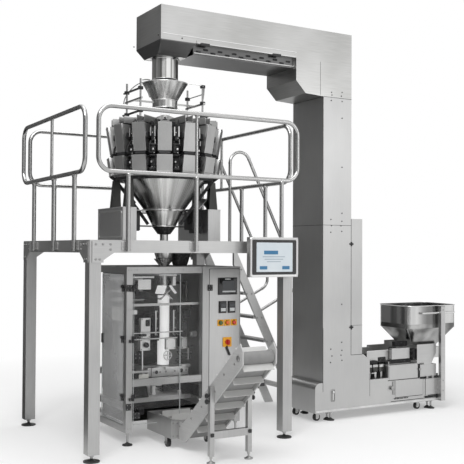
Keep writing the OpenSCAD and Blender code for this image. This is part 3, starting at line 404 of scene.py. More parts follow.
def wire(loop, out, radius, m=8):
    """Ring of round wire: a circle of m points carried round a closed flat loop, which runs
    counter-clockwise about out."""
    p = np.array(loop, float)
    w = np.array(out, float) / np.linalg.norm(out)
    t = np.roll(p, -1, axis=0) - np.roll(p, 1, axis=0)
    t /= np.linalg.norm(t, axis=1, keepdims=True)
    s = (np.arange(m) * 2 * np.pi / m)[None, :, None]
    return closed(p[:, None] + radius * (np.cos(s) * w + np.sin(s) * np.cross(t, w)[:, None]), True)


def circle(place, out, radius, n=40):
    """Loop of n points round out."""
    u, v, _ = axes(out)
    t = np.arange(n)[:, None] * 2 * np.pi / n
    return np.array(place, float) + radius * (np.cos(t) * u + np.sin(t) * v)


def bolts(places, out, r=8.0):
    """Hexagon heads on washers, each facing out."""
    washer = [(r * 1.4, 0), (r * 1.4, 1.4), (r * 1.3, 2)]
    head = [(r, 1.8), (r, r * 0.55), (r * 0.84, r * 0.72)]
    return [turned(p, out, rows, n) for p in places for rows, n in ((washer, 14), (head, 6))]


def studs(places, out, r=5.0):
    """Button heads: low domes, each facing out."""
    dome = [(r, 0), (r, r * 0.2), (r * 0.8, r * 0.5), (r * 0.4, r * 0.7)]
    return [turned(p, out, dome, 10) for p in places]


FRONT, BACK, LEFT, RIGHT, UP = (0, -1, 0), (0, 1, 0), (-1, 0, 0), (1, 0, 0), (0, 0, 1)
zinc = brushed("bolt_zinc", 0.28, 0.42, rough=0.34)
LEG_X, LEG_Y, GUSSET_OUT = 1880, 1680, 58
heads = []
for a, z in ((0, 1765), (62, 1765), (128, 1765), (128, 1722), (0, 1642), (34, 1642)):
    for y, out in ((-GUSSET_OUT, FRONT), (LEG_Y + GUSSET_OUT, BACK)):
        heads += bolts([(a, y, z), (LEG_X - a, y, z)], out)
    for x, out in ((-GUSSET_OUT, LEFT), (LEG_X + GUSSET_OUT, RIGHT)):
        heads += bolts([(x, a, z), (x, LEG_Y - a, z)], out)
piece("gusset_bolts", heads, zinc)
piece("leg_collars", [turned((x, y, 60), UP, [(40, 0), (40, 6), (36, 9), (30, 9)], 20) for x in (0, LEG_X)
    for y in (0, LEG_Y)], zinc)


# Guard rails and their posts: bent and polished 38 mm tube, with a small weld ring at each
# joint. Every post stands on a shoe plate that six screws hold on the beam.
tube_steel = brushed("polished_tube", 0.37, 0.54, rough=0.14)
wear(tube_steel, "handrail_front", "handrail_left", "handrail_back", "handrail_right", "handrail_posts",
    "ladder_handrails")
SHOE_Z, RAIL_Z0, RAIL_Z1 = 1752, 2361, 2898
POSTS = [((x, y, SHOE_Z), (x, -77, RAIL_Z0), FRONT) for x, y in ((273, -50), (908, -50), (1790, -58))]
POSTS += [((-50, y, SHOE_Z), (-77, y, RAIL_Z0), LEFT) for y in (1326, 764, 242)]
POSTS += [((x, 1730, SHOE_Z), (x, 1757, RAIL_Z0), BACK) for x in (1687, 967, 267)]
POSTS += [((1930, y, SHOE_Z), (1957, y, RAIL_Z0), RIGHT) for y in (457, 905)]
shoes, rings = [], []
for seat, top, out in POSTS:
    side = axes(out)[0]
    shoes.append(slab(seat, out, (94, 74), plate(0, 3, 1.5, 4.5), 5))
    shoes += studs([np.array(seat) + a * side + (0, 0, b) + 4 * np.array(out) for a in (-37, 37)
        for b in (-26, 0, 26)], out, 5)
    rings.append(turned(np.array(top) - (0, 0, 34), UP, [(19, 0), (22, 3), (23, 18), (20, 24)]))
for x, y in ((908, -77), (-77, 827), (967, 1757), (1957, 1320)):
    rings += [turned((x, y, z), UP, [(13, 0), (17, 3), (17, 9), (13, 12)], 14)
        for z in (RAIL_Z0 + 16, RAIL_Z1 - 28)]
piece("post_shoes", shoes, beam_steel)
piece("rail_weld_rings", rings, tube_steel)


# Ladder: two flat stringers hooked on the platform's right side, six treads with pressed
# ribs and a folded nose, and a bent handrail at each side.
wear(beam_steel, "ladder_stringers", "ladder_treads")
TREAD_N, LADDER_X, LADDER_Y, LADDER_TOP, LADDER_RUN = 6, 1938, 1330, 1775, 880
ribs, pins = [], []
for i in range(1, TREAD_N + 1):
    z = LADDER_TOP * i / (TREAD_N + 1)
    x = LADDER_X + LADDER_RUN * (1 - z / LADDER_TOP)
    ribs += [slab((x - 18 - 21 * j, LADDER_Y, z + 12), UP, (9, 500), [(0, 0), (0.5, 1.5), (3, 3)], 4)
        for j in range(5)]
    ribs.append(slab((x, LADDER_Y, z - 4), RIGHT, (548, 30), plate(0, 2, 2, 4), 3))
    for y, out in ((1020, FRONT), (1640, BACK)):
        pins += bolts([(x - 92, y, z), (x - 34, y, z)], out, 7)
piece("tread_ribs", ribs, beam_steel)
piece("tread_bolts", pins, zinc)


# Weigher stand: two sheet boxes on the deck, each with a raised outline pressed in its outer
# face, a slanted cover on the right one, black drive boxes inside, and thin tie bars.
sheet_up = brushed("stainless_upright", 0.45, 0.59, UPRIGHT, 0.27)
sheet_level = brushed("stainless_level", 0.45, 0.59, LEVEL, 0.27)
black_plastic = plain("black_plastic", (0.012, 0.012, 0.013), (0.026, 0.026, 0.027), rough=0.4)
STRUT_FOOT = 2.101


def stand_build():
    """Light sheet boxes; the struts above them are dark castings."""
    lines = noise(240, 2.0, UPRIGHT)
    tone = (lines * 0.4 + noise(2.0) * 0.6).between(0.33, 0.68)
    sheet_tone = two_tone((0.45,) * 3, (0.59,) * 3, tone)
    return (two_tone(sheet_tone, (0.06, 0.06, 0.058), coordinate(2).between(STRUT_FOOT,
        STRUT_FOOT + 0.003)), 0.27 + lines * 0.1, lines, 0.00005)


wear(material("stand_steel", stand_build, 1.0), "weigher_stand")
AXIS = np.array((960.0, 660.0, 0.0))
PANEL_ROWS = [(0, 0), (0, 3), (4, 6), (11, 6), (15, 2)]
panels = [slab((x, 765, 1950), out, (540, 252), PANEL_ROWS, 34, k=5)
    for x, out in ((460, LEFT), (1460, RIGHT))]
panels += [slab((x, 470, 1950), FRONT, (124, 290), [(0, 0), (1, 2)], 4) for x in (526, 1394)]
panels += [slab((x, 765, 2100), UP, (137, 596), plate(-6, 2, 3, 5), 6) for x in (526, 1394)]
piece("stand_panels", panels, sheet_up)
piece("stand_cover", [sheet([(1262, 620, 2106), (1350, 620, 2205), (1368, 620, 2212), (1462, 620, 2100)],
    (0, 90, 0), 4)], sheet_level)
piece("drive_boxes", [slab((593, 775, 1989), RIGHT, (160, 186), plate(0, 130, 8, 140), 10),
    slab((1327, 690, 2012), LEFT, (180, 200), plate(0, 88, 6, 96), 8),
    slab((1327, 640, 1912), LEFT, (120, 64), plate(0, 80, 4, 84), 8),
    turned((1245, 690, 2012), LEFT, [(46, 0), (46, 26), (38, 30)], 20)], black_plastic)
piece("tie_bars", [bar([(593, y, z), (1327, y, z)], 7) for y, z in ((812, 1945), (850, 2070))], zinc)
stand_screws = studs([(x, 470, z) for x in (478, 574, 1346, 1442) for z in (1815, 2085)], FRONT, 4)
for x, out in ((460, LEFT), (1460, RIGHT)):
    stand_screws += studs([(x, y, z) for y in (484, 1046) for z in (1815, 2085)], out, 4)
piece("stand_screws", stand_screws, zinc)


# Weigher heads: a black drum of drives in the middle. Each head has a stainless feed hopper
# above a weigh hopper, and black arms, rollers and springs fill the gaps between them.
HEAD_N = 14
HEAD_PITCH = 2 * np.pi / HEAD_N


def around(parts, angles):
    """Copies of parts drawn along +X from the weigher's axis, turned by each angle."""
    made = []
    for a in angles:
        spin = np.array([[np.cos(a), np.sin(a), 0], [-np.sin(a), np.cos(a), 0], [0, 0, 1]])
        made += [(points @ spin + AXIS, quads, caps) for points, quads, caps in parts]
    return made


head_angles = (np.arange(HEAD_N) + 0.5) * HEAD_PITCH
gap_angles = np.arange(HEAD_N) * HEAD_PITCH


def drum_build():
    """Black painted castings with lighter worn spots."""
    spots = noise(45, 4.0)
    return (two_tone((0.008, 0.008, 0.009), (0.09, 0.09, 0.088), spots.between(0.5, 0.85)),
        0.42 + spots * 0.2, spots, 0.0006)


castings = material("drive_castings", drum_build, 0.3)
hopper_steel = brushed("hopper_plate", 0.42, 0.56, UPRIGHT, 0.3, 0.3)
edge_steel = brushed("bright_edge", 0.66, 0.8, rough=0.22)
wear(castings, "weigher_body")
wear(hopper_steel, "feed_hoppers", "weigh_hoppers")
FEED_AT, FEED_OUT, WEIGH_AT, WEIGH_OUT = (521, 0, 2722), (245, 0, -42), (517.2, 0, 2485), (150, 0, -25.7)
PLATE_ROWS = plate(-1, 2, 1.2, 3.2)
piece("hopper_plates", around([slab(FEED_AT, FEED_OUT, (116, 252), PLATE_ROWS, 4),
    slab(WEIGH_AT, WEIGH_OUT, (132, 154), PLATE_ROWS, 4), slab((545, 0, 2842), RIGHT, (70, 10),
    plate(-8, 0, 1, 1), 2)], head_angles), hopper_steel)
rims = [slab((FEED_AT[0], s * 59, FEED_AT[2]), FEED_OUT, (3, 254), plate(-14, 5), 1) for s in (-1, 1)]
rims += [slab((WEIGH_AT[0], s * 67.5, WEIGH_AT[2]), WEIGH_OUT, (3, 156), plate(-14, 5), 1) for s in (-1, 1)]
rims.append(slab((505, 0, 2401), (1, 0, -0.2), (136, 9), plate(-2, 7), 2))
piece("hopper_rims", around(rims, head_angles), edge_steel)
# Black gate housings: real parts, and the first wide box between feed and weigh hoppers also stands for the
# shadow band there, painted shade.
gates_and_shade_band = [slab((470, 0, 2580), RIGHT, (100, 32), plate(-70, 30, 4, 34), 4),
    turned((498, -52, 2580), BACK, [(9, 0), (9, 104)], 10), slab((470, 0, 2858), RIGHT, (64, 26),
    plate(-60, 20, 3, 24), 5), turned((440, 0, 2868), UP, [(16, 0), (16, 16), (9, 22), (9, 34)], 12)]
gates_and_shade_band += [slab((452, s * y, z), (0, s, 0), size, plate(-4, 5, 2, 7), 10)
    for y, z, size in ((60, 2742, (84, 56)), (68, 2500, (80, 60))) for s in (-1, 1)]
piece("head_gates_and_shade_band", around(gates_and_shade_band, head_angles), black_plastic)
drives = [slab((396, 0, 2625), RIGHT, (62, 430), plate(-6, 26, 4, 30), 6),
    slab((440, 4, 2735), RIGHT, (46, 96), plate(-30, 20, 5, 26), 6),
    slab((452, -8, 2610), RIGHT, (64, 70), plate(-50, 20, 5, 25), 8),
    slab((440, 6, 2480), RIGHT, (56, 110), plate(-40, 24, 5, 30), 8),
    turned((470, -34, 2655), BACK, [(13, 0), (13, 66)], 12), turned((476, -30, 2560), BACK,
    [(10, 0), (10, 58)], 12), turned((470, -30, 2440), BACK, [(12, 0), (12, 60)], 12),
    bar([(462, -22, 2690), (494, -28, 2640), (500, -26, 2580)], 6, 8),
    bar([(462, 24, 2560), (496, 28, 2500), (486, 26, 2430)], 6, 8),
    turned((430, -18, 2830), UP, [(15, 0), (15, 34), (8, 40)], 12),
    bar(curve([(430, 20, 2840), (440, 26, 2905), (470, 20, 2900), (474, 16, 2830)], 10), 4, 6)]
piece("drives_between_heads", around(drives, gap_angles), castings)
# Painted glints: small bright steel plates, caps, studs and a rod in the dark gaps between heads.
glints = [slab((477, 19, 2772), RIGHT, (12, 92), plate(-3, 2), 2), slab((477, -21, 2772), RIGHT, (9, 80),
    plate(-3, 2), 2), turned((484, 4, 2612), RIGHT, [(9, 0), (9, 6), (5, 9)], 10),
    turned((478, -12, 2500), RIGHT, [(8, 0), (8, 6), (5, 9)], 10), bar([(482, 22, 2700), (482, 22, 2660)],
    4, 8)]
glints += studs([(470, -6, 2762), (470, 14, 2712), (477, 10, 2582), (470, -8, 2455), (470, 18, 2455)],
    RIGHT, 5)
piece("glint_plates", around(glints, gap_angles), edge_steel)
# Slanted struts from the cone's edge, drawn black: their dark colour stands partly for the shadow they lie
# in, painted shade.
piece("cone_arms", around([sheet([(500, 0, 2404), (452, 0, 2366), (236, 0, 2082), (150, 0, 1960)],
    (0, 46, 0), 30), slab((300, 0, 2190), (1, 0, -0.75), (70, 90), plate(-14, 22, 6, 28), 10)],
    np.array((-1, 2, 6)) * HEAD_PITCH), castings)


# Feeding on top and cones below: spun cones, each joined to the next by a flange, feeder
# pans round a top cone, and the infeed funnel with a rolled rim on four clamped rods.
def painted_streak_build():
    """Spun steel: light and dark streaking from rim to neck, even round the weigher's axis, painted as
    reflections.
    """
    seat = Sock.node("Mapping", 0, Vector=Sock.node("TexCoord", "Object"), Location=tuple(-at(960, 660, 0)),
        Scale=(1, 1, 0.0001))
    ray = Sock.node("VectorMath", 0, {"operation": "NORMALIZE"}, _0=seat)
    painted_streaks = Sock.node("TexNoise", "Fac", Vector=ray, Scale=3.4, Detail=2.0)
    fine = Sock.node("TexNoise", "Fac", Vector=ray, Scale=60.0, Detail=2.0)
    tone = (painted_streaks * 0.8 + fine * 0.2).between(0.36, 0.64)
    return two_tone((0.26, 0.26, 0.255), (0.74, 0.74, 0.735), tone), 0.2 + fine * 0.12, fine, 0.00004


# Cones and funnels in this material carry painted reflection streaks in their colour.
spun_with_painted_streaks = material("spun_painted_streak_stainless", painted_streak_build, 1.0)
wear(spun_with_painted_streaks, "collecting_cone", "outlet_funnel", "infeed_funnel")
wear(sheet_level, "feeder_pans")
wear(tube_steel, "funnel_posts")
piece("funnel_rims", [wire(circle((*AXIS[:2], z), UP, r, 48), UP, t)
    for z, r, t in ((3280, 211, 4), (3120, 117, 3.5), (3051, 117, 3.5), (2391, 455, 4), (2093, 198, 4),
    (1941, 119, 3.5), (1863, 39, 3))], edge_steel)
piece("cone_clamps", around([slab((202, 0, 2091), RIGHT, (26, 22), plate(-14, 10, 3, 13), 4),
    turned((216, 0, 2091), RIGHT, [(7, 0), (7, 16), (5, 18)], 10)], np.radians((-100, 20, 140))), zinc)
clamps = [slab((640, 680, 3190), RIGHT, (400, 14), plate(-8, 8), 3),
    slab((640, 690, 2984), UP, (30, 400), plate(-5, 5), 3), slab((1290, 500, 2972), UP, (34, 150),
    plate(-5, 5), 3), bar([(640, 880, 2984), (640, 880, 2880)], 6),
    bar([(1290, 440, 2972), (1290, 440, 2868)], 6)]
clamps += [slab((x, y, z), RIGHT, (34, 30), plate(-19, 19), 5) for x, y, z in ((640, 506, 3190),
    (640, 814, 3190), (1280, 506, 3262), (1280, 814, 3190), (640, 814, 2984), (640, 506, 2984),
    (1280, 506, 2972), (1280, 506, 3106))]
piece("rod_clamps", clamps, black_plastic)
STAYS = (((620, 840, 3082), (610, 830, 3170), (690, 730, 3275), (752, 690, 3282)),
    ((660, 506, 3262), (700, 520, 3278), (760, 560, 3284), (790, 585, 3284)),
    ((1280, 490, 3262), (1220, 520, 3290), (1170, 560, 3286)), ((1280, 506, 3190), (1280, 814, 3190)),
    ((1292, 506, 3262), (1330, 560, 3240), (1352, 640, 3130)), ((700, 506, 3190), (716, 506, 3160),
    (728, 500, 3110)))
piece("funnel_stays", [bar(curve(p), 5) for p in STAYS], tube_steel)
piece("pan_edges", around([slab((340, s * 36.5, 2921), UP, (306, 4), plate(-2, 1.5), 1) for s in (-1, 1)],
    head_angles), edge_steel)
piece("outlet_skirt", [turned((*AXIS[:2], 0), UP, [(60, 1868), (112, 1938), (114, 1946), (108, 1946),
    (58, 1876)], 40, True)], castings, slot="stainless")
piece("under_deck_funnel", [turned((*AXIS[:2], 0), UP, [(68, 1606), (74, 1640), (92, 1700), (100, 1762),
    (97, 1762), (89, 1701), (71, 1641), (65, 1606)], 40, True)], spun_with_painted_streaks)
piece("under_deck_drive", [slab((1150, 700, 1572), UP, (110, 110), [(0, 0), (-14, 34), (-38, 124),
    (-38, 128)], 26, k=4)], castings)


# Operator panel on the platform's front beam: a silver bezel with round corners, a black
# inner bezel and a pale screen that shows a plain page of bars.
PANEL = np.array((1659.5, -157.0, 1660.0))
silver = brushed("panel_silver", 0.58, 0.7, LEVEL, 0.3)
glass_black = plain("screen_black", (0.01, 0.01, 0.011), (0.016, 0.016, 0.018), rough=0.12, depth=0.00001,
    coat=0.4)
wear(silver, "operator_panel")
page = plain("screen_page", (0.52, 0.6, 0.66), (0.72, 0.76, 0.78), rough=0.25, depth=0.00001, coat=0.3)
page_blue = plain("screen_blue", (0.03, 0.15, 0.3), (0.05, 0.2, 0.36), rough=0.25, depth=0.00001)
page_grey = plain("screen_grey", (0.28, 0.34, 0.4), (0.34, 0.4, 0.46), rough=0.25, depth=0.00001)
piece("panel_bezel", [slab(PANEL, FRONT, (515, 356), [(0, -6), (0, 5), (4, 9), (18, 9), (21, 7)], 26, k=5)],
    silver)
piece("panel_inner_bezel", [slab(PANEL - (0, 6.5, 0), FRONT, (470, 312), [(0, 0), (1, 3)], 12, k=4)],
    glass_black)
piece("panel_screen", [slab(PANEL - (0, 9.2, 0), FRONT, (386, 262), [(0, 0), (0.5, 0.9)], 4)], page)
for name, mat, blocks in (("screen_blocks", page_blue, ((-40, 42, 150, 34), (-120, -94, 80, 30),
        (120, -94, 80, 30))), ("screen_lines", page_grey, ((-10, 4, 240, 7), (-10, -18, 200, 7),
        (-10, -40, 150, 7)))):
    piece(name, [slab(PANEL + (x, -10, z), FRONT, (w, h), [(0, 0), (0.3, 0.5)], 3)
        for x, z, w, h in blocks], mat)


# Bagger frame: box-section posts and rails, clear acrylic doors with polished edges, black
# hinge blocks and catches. What sits beyond the hinge pin turns with the door.
wear(beaded, "bagger_posts", "bagger_rails")
clear = bpy.data.materials.new("clear_acrylic")
clear.use_nodes = True
Sock.tree = clear.node_tree
haze = noise(3.0)
shade(clear.node_tree, Base_Color=two_tone((0.5, 0.505, 0.505), (0.7, 0.705, 0.705), haze),
    Roughness=haze * 0.06 + 0.04, Alpha=haze.between(0.3, 0.9) * 0.06 + 0.02)
wear(clear, "front_door", "front_panel")
misty = clear.copy()
misty.name = "misty_acrylic"
Sock.tree = misty.node_tree
shade(misty.node_tree, Alpha=noise(2.2, stretch=(1, 1, 0.3)).between(0.3, 0.7) * 0.3 + 0.2)
wear(misty, "side_door")
edge_glass = plain("polished_acrylic_edge", (0.46, 0.475, 0.475), (0.58, 0.595, 0.595), rough=0.15,
    depth=0.00001)
HINGE_Z, SLEEVE_H = (420, 930, 1380), 29
FRONT_PIN, SIDE_PIN = (523, 362), (450, 435)
SLEEVE_ROWS = [(10.5, 0), (11.5, 1), (11.5, SLEEVE_H - 1), (10.5, SLEEVE_H)]
for name, body, pin, way, out, lift in (("front_door_hinges", "front_door", FRONT_PIN, RIGHT, FRONT, 0.4),
        ("side_door_hinges", "side_door", SIDE_PIN, BACK, LEFT, 0.4),
        ("front_post_hinges", "line", FRONT_PIN, LEFT, FRONT, -29.6),
        ("side_post_hinges", "line", SIDE_PIN, FRONT, LEFT, -29.6)):
    leaves = [np.array((*pin, z + lift + 14.5)) + 24 * np.array(way) for z in HINGE_Z]
    piece(name, [turned((*pin, z + lift), UP, SLEEVE_ROWS, 16) for z in HINGE_Z]
        + [slab(leaf, out, (26, 27), plate(-6, 6, 2, 8), 5) for leaf in leaves], black_plastic, body)
    piece(name + "_screws", studs([leaf + 8 * np.array(out) + (0, 0, b) for leaf in leaves
        for b in (-7, 7)], out, 3.5), zinc, body)


def corner_studs(place, out, across, high, r=4.5):
    """Four screws round place, on a face that looks along out."""
    u = axes(out)[0]
    return studs([np.array(place, float) + a * u + (0, 0, b) for a in (-across, across)
        for b in (-high, high)], out, r)


FRAME_Y, DOOR_Y = 372, 364
SQUARE_ROWS = plate(-1, 8, 2, 10)
post_blocks = [(x, FRAME_Y, z) for x, z in ((485, 1382), (485, 340), (1297, 1372), (1256, 226))]
door_blocks = [(562, DOOR_Y, 784), (560, DOOR_Y, 261)]
piece("post_blocks", [slab(p, FRONT, (50, 57), SQUARE_ROWS, 5) for p in post_blocks], black_plastic)
piece("post_block_screws", sum([corner_studs(np.array(p) - (0, 10, 0), FRONT, 15, 17) for p in post_blocks],
    []), zinc)
piece("door_blocks", [slab(p, FRONT, (60, 57), SQUARE_ROWS, 5) for p in door_blocks]
    + [slab((556, DOOR_Y, 1346), FRONT, (34, 46), SQUARE_ROWS, 8), slab((967, DOOR_Y, 900), FRONT,
    (18, 110), plate(-1, 8, 5, 18), 8, k=3)], black_plastic, "front_door")
piece("door_block_screws", sum([corner_studs(np.array(p) - (0, 10, 0), FRONT, 18, 17) for p in door_blocks],
    []), zinc, "front_door")
EDGE_ROWS = plate(-3.5, 4.6)
piece("door_edges", [slab((x, 368, z), FRONT, size, EDGE_ROWS, 1) for x, z, size in ((756, 181.5, (460, 3)),
    (756, 1498.5, (460, 3)), (984.5, 840, (3, 1316)), (527.5, 840, (3, 1316)))], edge_glass, "front_door")
piece("panel_edges", [slab((991.5, 376, 840), FRONT, (3, 1316), EDGE_ROWS, 1)], edge_glass)
piece("side_door_edges", [slab((464, y, z), LEFT, size, EDGE_ROWS, 1)
    for y, z, size in ((689, 181.5, (498, 3)), (689, 1498.5, (498, 3)), (936.5, 840, (3, 1316)))],
    edge_glass, "side_door")
piece("side_catch", [slab((460, 915, 900), LEFT, (24, 90), plate(-1, 8, 4, 14), 8)], black_plastic,
    "side_door")
frame_screws = studs([(x, FRAME_Y, z) for x in (478, 502) for z in (150, 640, 1190, 1540)]
    + [(x, FRAME_Y, 1541) for x in (560, 700, 860, 1020, 1180, 1300, 1600)], FRONT, 4)
frame_screws += studs([(460, y, z) for y in (390, 1334) for z in (150, 640, 1190, 1540)], LEFT, 4)
piece("frame_screws", frame_screws, zinc)


# Forming tube with the film on it: polished tube and shoulder, film drawn down as a sleeve,
# made bright by a painted glow, between the pull belts, with plates, rods, blocks and cables before a dark
# back plate.
smoked = brushed("smoked_plate", 0.02, 0.14, LEVEL, 0.25, 0.5)
dull_steel = brushed("inner_plate", 0.5, 0.84, rough=0.28, soil=0.45)
rubber = plain("black_rubber", (0.014, 0.014, 0.014), (0.03, 0.03, 0.03), rough=0.65, depth=0.0003)
wear(sheet_up, "bag_chute")
wear(tube_steel, "forming_tube")
wear(dull_steel, "sealing_jaws")
wear(smoked, "film_carriage")
wear(rubber, "pull_belts")


def film_build():
    """Thin white film with upright pleats."""
    pleats = noise(90, 3.0, (1, 1, 0.04))
    return (two_tone((0.72, 0.72, 0.72), (0.92, 0.92, 0.92), pleats.between(0.3, 0.7)), 0.15 + pleats * 0.2,
        pleats, 0.0008)


film = material("glowing_film_sleeve", film_build)
# Painted light: the film sleeve and the shoulder plates glow white at strength 0.4, though they are no
# lamp.
shade(film.node_tree, Emission_Color=(1, 1, 1, 1), Emission_Strength=0.4)
piece("glowing_film_sleeve", [turned((960, 660, 652), UP, [(54, 0), (55.2, 2), (55.2, 644), (54, 646)], 48)], film)
piece("shoulder_plates", [slab(np.array((960, 592, 1352)) + (s * 62, 0, 0), (s * 0.62, -0.5, 0.6), (92, 92),
    plate(-1, 2, 2, 4), 8) for s in (-1, 1)], film)
piece("belt_loops", [slab((x, 620, 1045), FRONT, (60, 330), plate(0, 8, 3, 11), 29, k=6)
    for x in (868, 1052)] + [slab((x, 605, 1035), FRONT, (54, 186), plate(0, 10, 6, 16), 10)
    for x in (810, 1110)], rubber)
BLOCK_ROWS = plate(-40, 0, 2, 3)
inner = slabs(FRONT, BLOCK_ROWS, 5, (743, 585, 1004, 96, 186), (740, 585, 854, 100, 112),
    (995, 575, 853, 98, 112), (1138, 575, 850, 60, 106), (1150, 560, 640, 90, 30), (690, 560, 612, 180, 22),
    (818, 560, 436, 36, 84), (1040, 600, 1430, 34, 88), (640, 610, 1150, 60, 40))
inner += [slab((x, 609, 1045), FRONT, (14, 230), plate(0, 4, 2, 6), 6) for x in (856, 1040)]
inner += [slab((985, 570, 598), FRONT, (380, 84), plate(-1, 8, 2, 11), 4),
    slab((985, 555, 630), FRONT, (120, 26), plate(0, 14, 2, 16), 4),
    slab((740, 610, 1402), (-0.25, -1, 0), (120, 92), plate(0, 3), 4)]
piece("inner_plates", inner, dull_steel)
screws = studs([(x, 603, 1045 + z) for x in (868, 1052) for z in (-110, -50, 40, 110)], FRONT, 7)
screws += corner_studs((743, 582, 1004), FRONT, 36, 80, 6) + corner_studs((740, 582, 854), FRONT, 38, 42, 6)
screws += corner_studs((995, 572, 853), FRONT, 38, 42, 6) + corner_studs((1138, 572, 850), FRONT, 20, 40, 6)
screws += bolts([(x, 559, 598) for x in (820, 880, 940, 1030, 1090, 1150)], FRONT, 7)
piece("inner_screws", screws, zinc)
blocks = slabs(FRONT, BLOCK_ROWS, 8, (762, 575, 1050, 40, 60), (808, 578, 1000, 22, 190),
    (806, 578, 860, 18, 110), (720, 575, 940, 60, 22), (1138, 580, 985, 58, 150), (1070, 560, 948, 70, 26),
    (715, 660, 1300, 190, 70), (640, 700, 1390, 90, 160), (1015, 575, 446, 176, 62),
    (700, 575, 250, 60, 60), (1200, 640, 1120, 70, 90), (1180, 640, 560, 90, 60), (655, 640, 520, 70, 50),
    (560, 700, 720, 50, 150))
blocks += [turned((x, 560, z), FRONT, [(r, -30), (r, 0), (r * 0.6, 4), (r * 0.6, 10)])
    for x, z, r in ((745, 850, 24), (1100, 598, 20), (845, 598, 18), (1075, 690, 22), (900, 430, 16))]
piece("inner_blocks", blocks, castings)
rods = [bar([(612, 560, z), (1108, 560, z)], 6) for z in (962, 906)]
rods += [bar([(701, 560, 628), (701, 560, 800)], 7), bar([(580, 600, 1468), (830, 600, 1468)], 9),
    bar([(1170, 560, 690), (1170, 560, 800)], 6), bar([(918, 555, 746), (990, 555, 746)], 4),
    bar([(954, 555, 710), (954, 555, 782)], 4), wire(circle((954, 555, 746), FRONT, 40, 28), FRONT, 5),
    turned((954, 600, 746), FRONT, [(7, 0), (7, 52), (12, 54), (12, 62)], 12),
    turned((1190, 585, 930), RIGHT, [(24, 0), (24, 20), (33, 22), (33, 66), (28, 72)], 20)]
rods += [turned((540, y, z), RIGHT, [(8, 0), (8, 14), (25, 16), (25, 330), (8, 332), (8, 350)], 20)
    for y, z in ((985, 1440), (985, 1325), (930, 1250))]
piece("inner_rods", rods, edge_steel)
ivory = plain("ivory_plate", (0.66, 0.66, 0.62), (0.74, 0.74, 0.7), rough=0.4)
piece("bare_label_plate", [slab((697, 520, 562), FRONT, (96, 64), plate(0, 2, 1, 3), 3)], ivory)
CABLES = (((1095, 640, 805), (1130, 600, 700), (1180, 640, 760), (1276, 700, 742)),
    ((1100, 650, 770), (1150, 620, 650), (1200, 660, 720), (1276, 720, 690)),
    ((1110, 640, 840), (1180, 610, 820), (1220, 650, 800), (1276, 690, 800)),
    ((760, 640, 540), (800, 600, 470), (880, 600, 430), (960, 620, 470)),
    ((1105, 640, 1180), (1130, 600, 1260), (1200, 640, 1240), (1276, 690, 1180)))
piece("conduits", [bar(curve(p), 8) for p in CABLES], rubber)
piece("lower_covers", [slab((900, 1050, 282), FRONT, (756, 258), plate(-10, 0), 4),
    slab((1272, 800, 300), LEFT, (500, 300), plate(-6, 0), 4), slab((900, 800, 176), UP, (740, 480),
    plate(-6, 0), 4)], smoked)
piece("sealer_cover", [slab((585, 900, 1123), LEFT, (190, 128), plate(-100, 0, 5, 6), 12)], ivory)
piece("sealer_motor", [slab((600, 880, 955), LEFT, (230, 160), plate(-100, 0, 8, 10), 14),
    slab((600, 700, 955), LEFT, (80, 120), plate(-20, 0, 8, 10), 14),
    wire(circle((556, 790, 573), LEFT, 80, 32), LEFT, 10), turned((600, 790, 573), LEFT,
    [(20, 0), (20, 50), (14, 54)], 16), bar([(556, 714, 573), (556, 866, 573)], 7),
    bar([(556, 790, 497), (556, 790, 649)], 7)], castings)


# Control cabinet: a sheet door with a dark seam, a display, two controllers, three lit
# buttons and the main switch on yellow plates. Hinges and vents are on its right side.
wear(sheet_up, "control_cabinet")
wear(black_plastic, "cabinet_controls")
wear(plain("switch_red", (0.42, 0.02, 0.015), (0.55, 0.03, 0.02), rough=0.32), "main_switch")
yellow = plain("switch_yellow", (0.78, 0.36, 0.01), (0.86, 0.43, 0.02), rough=0.35)
CAB_Y, DISPLAY_Y, CAB_RIGHT = 372, 362, 1625
piece("cabinet_door", [slab((1452.5, CAB_Y, 930), FRONT, (325, 1230), plate(-1, 2, 1.5, 3.5), 6)], sheet_up)
piece("cabinet_seam", [slab((1452.5, CAB_Y, 930), FRONT, (333, 1238), plate(-1, 0.6), 8)], castings,
    slot="stainless")
piece("display_glass", [slab((1482, DISPLAY_Y, 1384), FRONT, (190, 146), plate(-1, 1, 2, 2), 6)]
    + [slab((x, DISPLAY_Y, 1189), FRONT, (74, 106), plate(-1, 6, 4, 10), 6) for x in (1430, 1526)],
    glass_black)
GLASS_ROWS = [(0, 0), (0.4, 0.8)]
dim = plain("display_grey", (0.05, 0.055, 0.06), (0.09, 0.095, 0.1), rough=0.2)
pale = plain("display_white", (0.6, 0.62, 0.62), (0.72, 0.74, 0.74), rough=0.3)
piece("display_windows", [slab((1488, DISPLAY_Y - 2, 1388), FRONT, (128, 96), GLASS_ROWS, 3)]
    + [slab((x, DISPLAY_Y - 10, 1206), FRONT, (48, 26), GLASS_ROWS, 2) for x in (1430, 1526)], dim)
piece("display_strips", [slab((1494, DISPLAY_Y - 2.6, 1334), FRONT, (140, 14), GLASS_ROWS, 2),
    slab((1482, DISPLAY_Y - 2, 1450), FRONT, (60, 9), GLASS_ROWS, 2)]
    + [slab((x, DISPLAY_Y - 10, 1166), FRONT, (50, 30), GLASS_ROWS, 2) for x in (1430, 1526)], pale)
piece("yellow_plates", [slab((x, CAB_Y - 3, 1043), FRONT, (66, 60), plate(0, 3, 2, 5), 5)
    for x in (1408, 1480, 1552)] + [slab((1480, CAB_Y, 862), FRONT, (90, 90), plate(0, 12.4, 0.3, 12.6),
    6)], yellow)
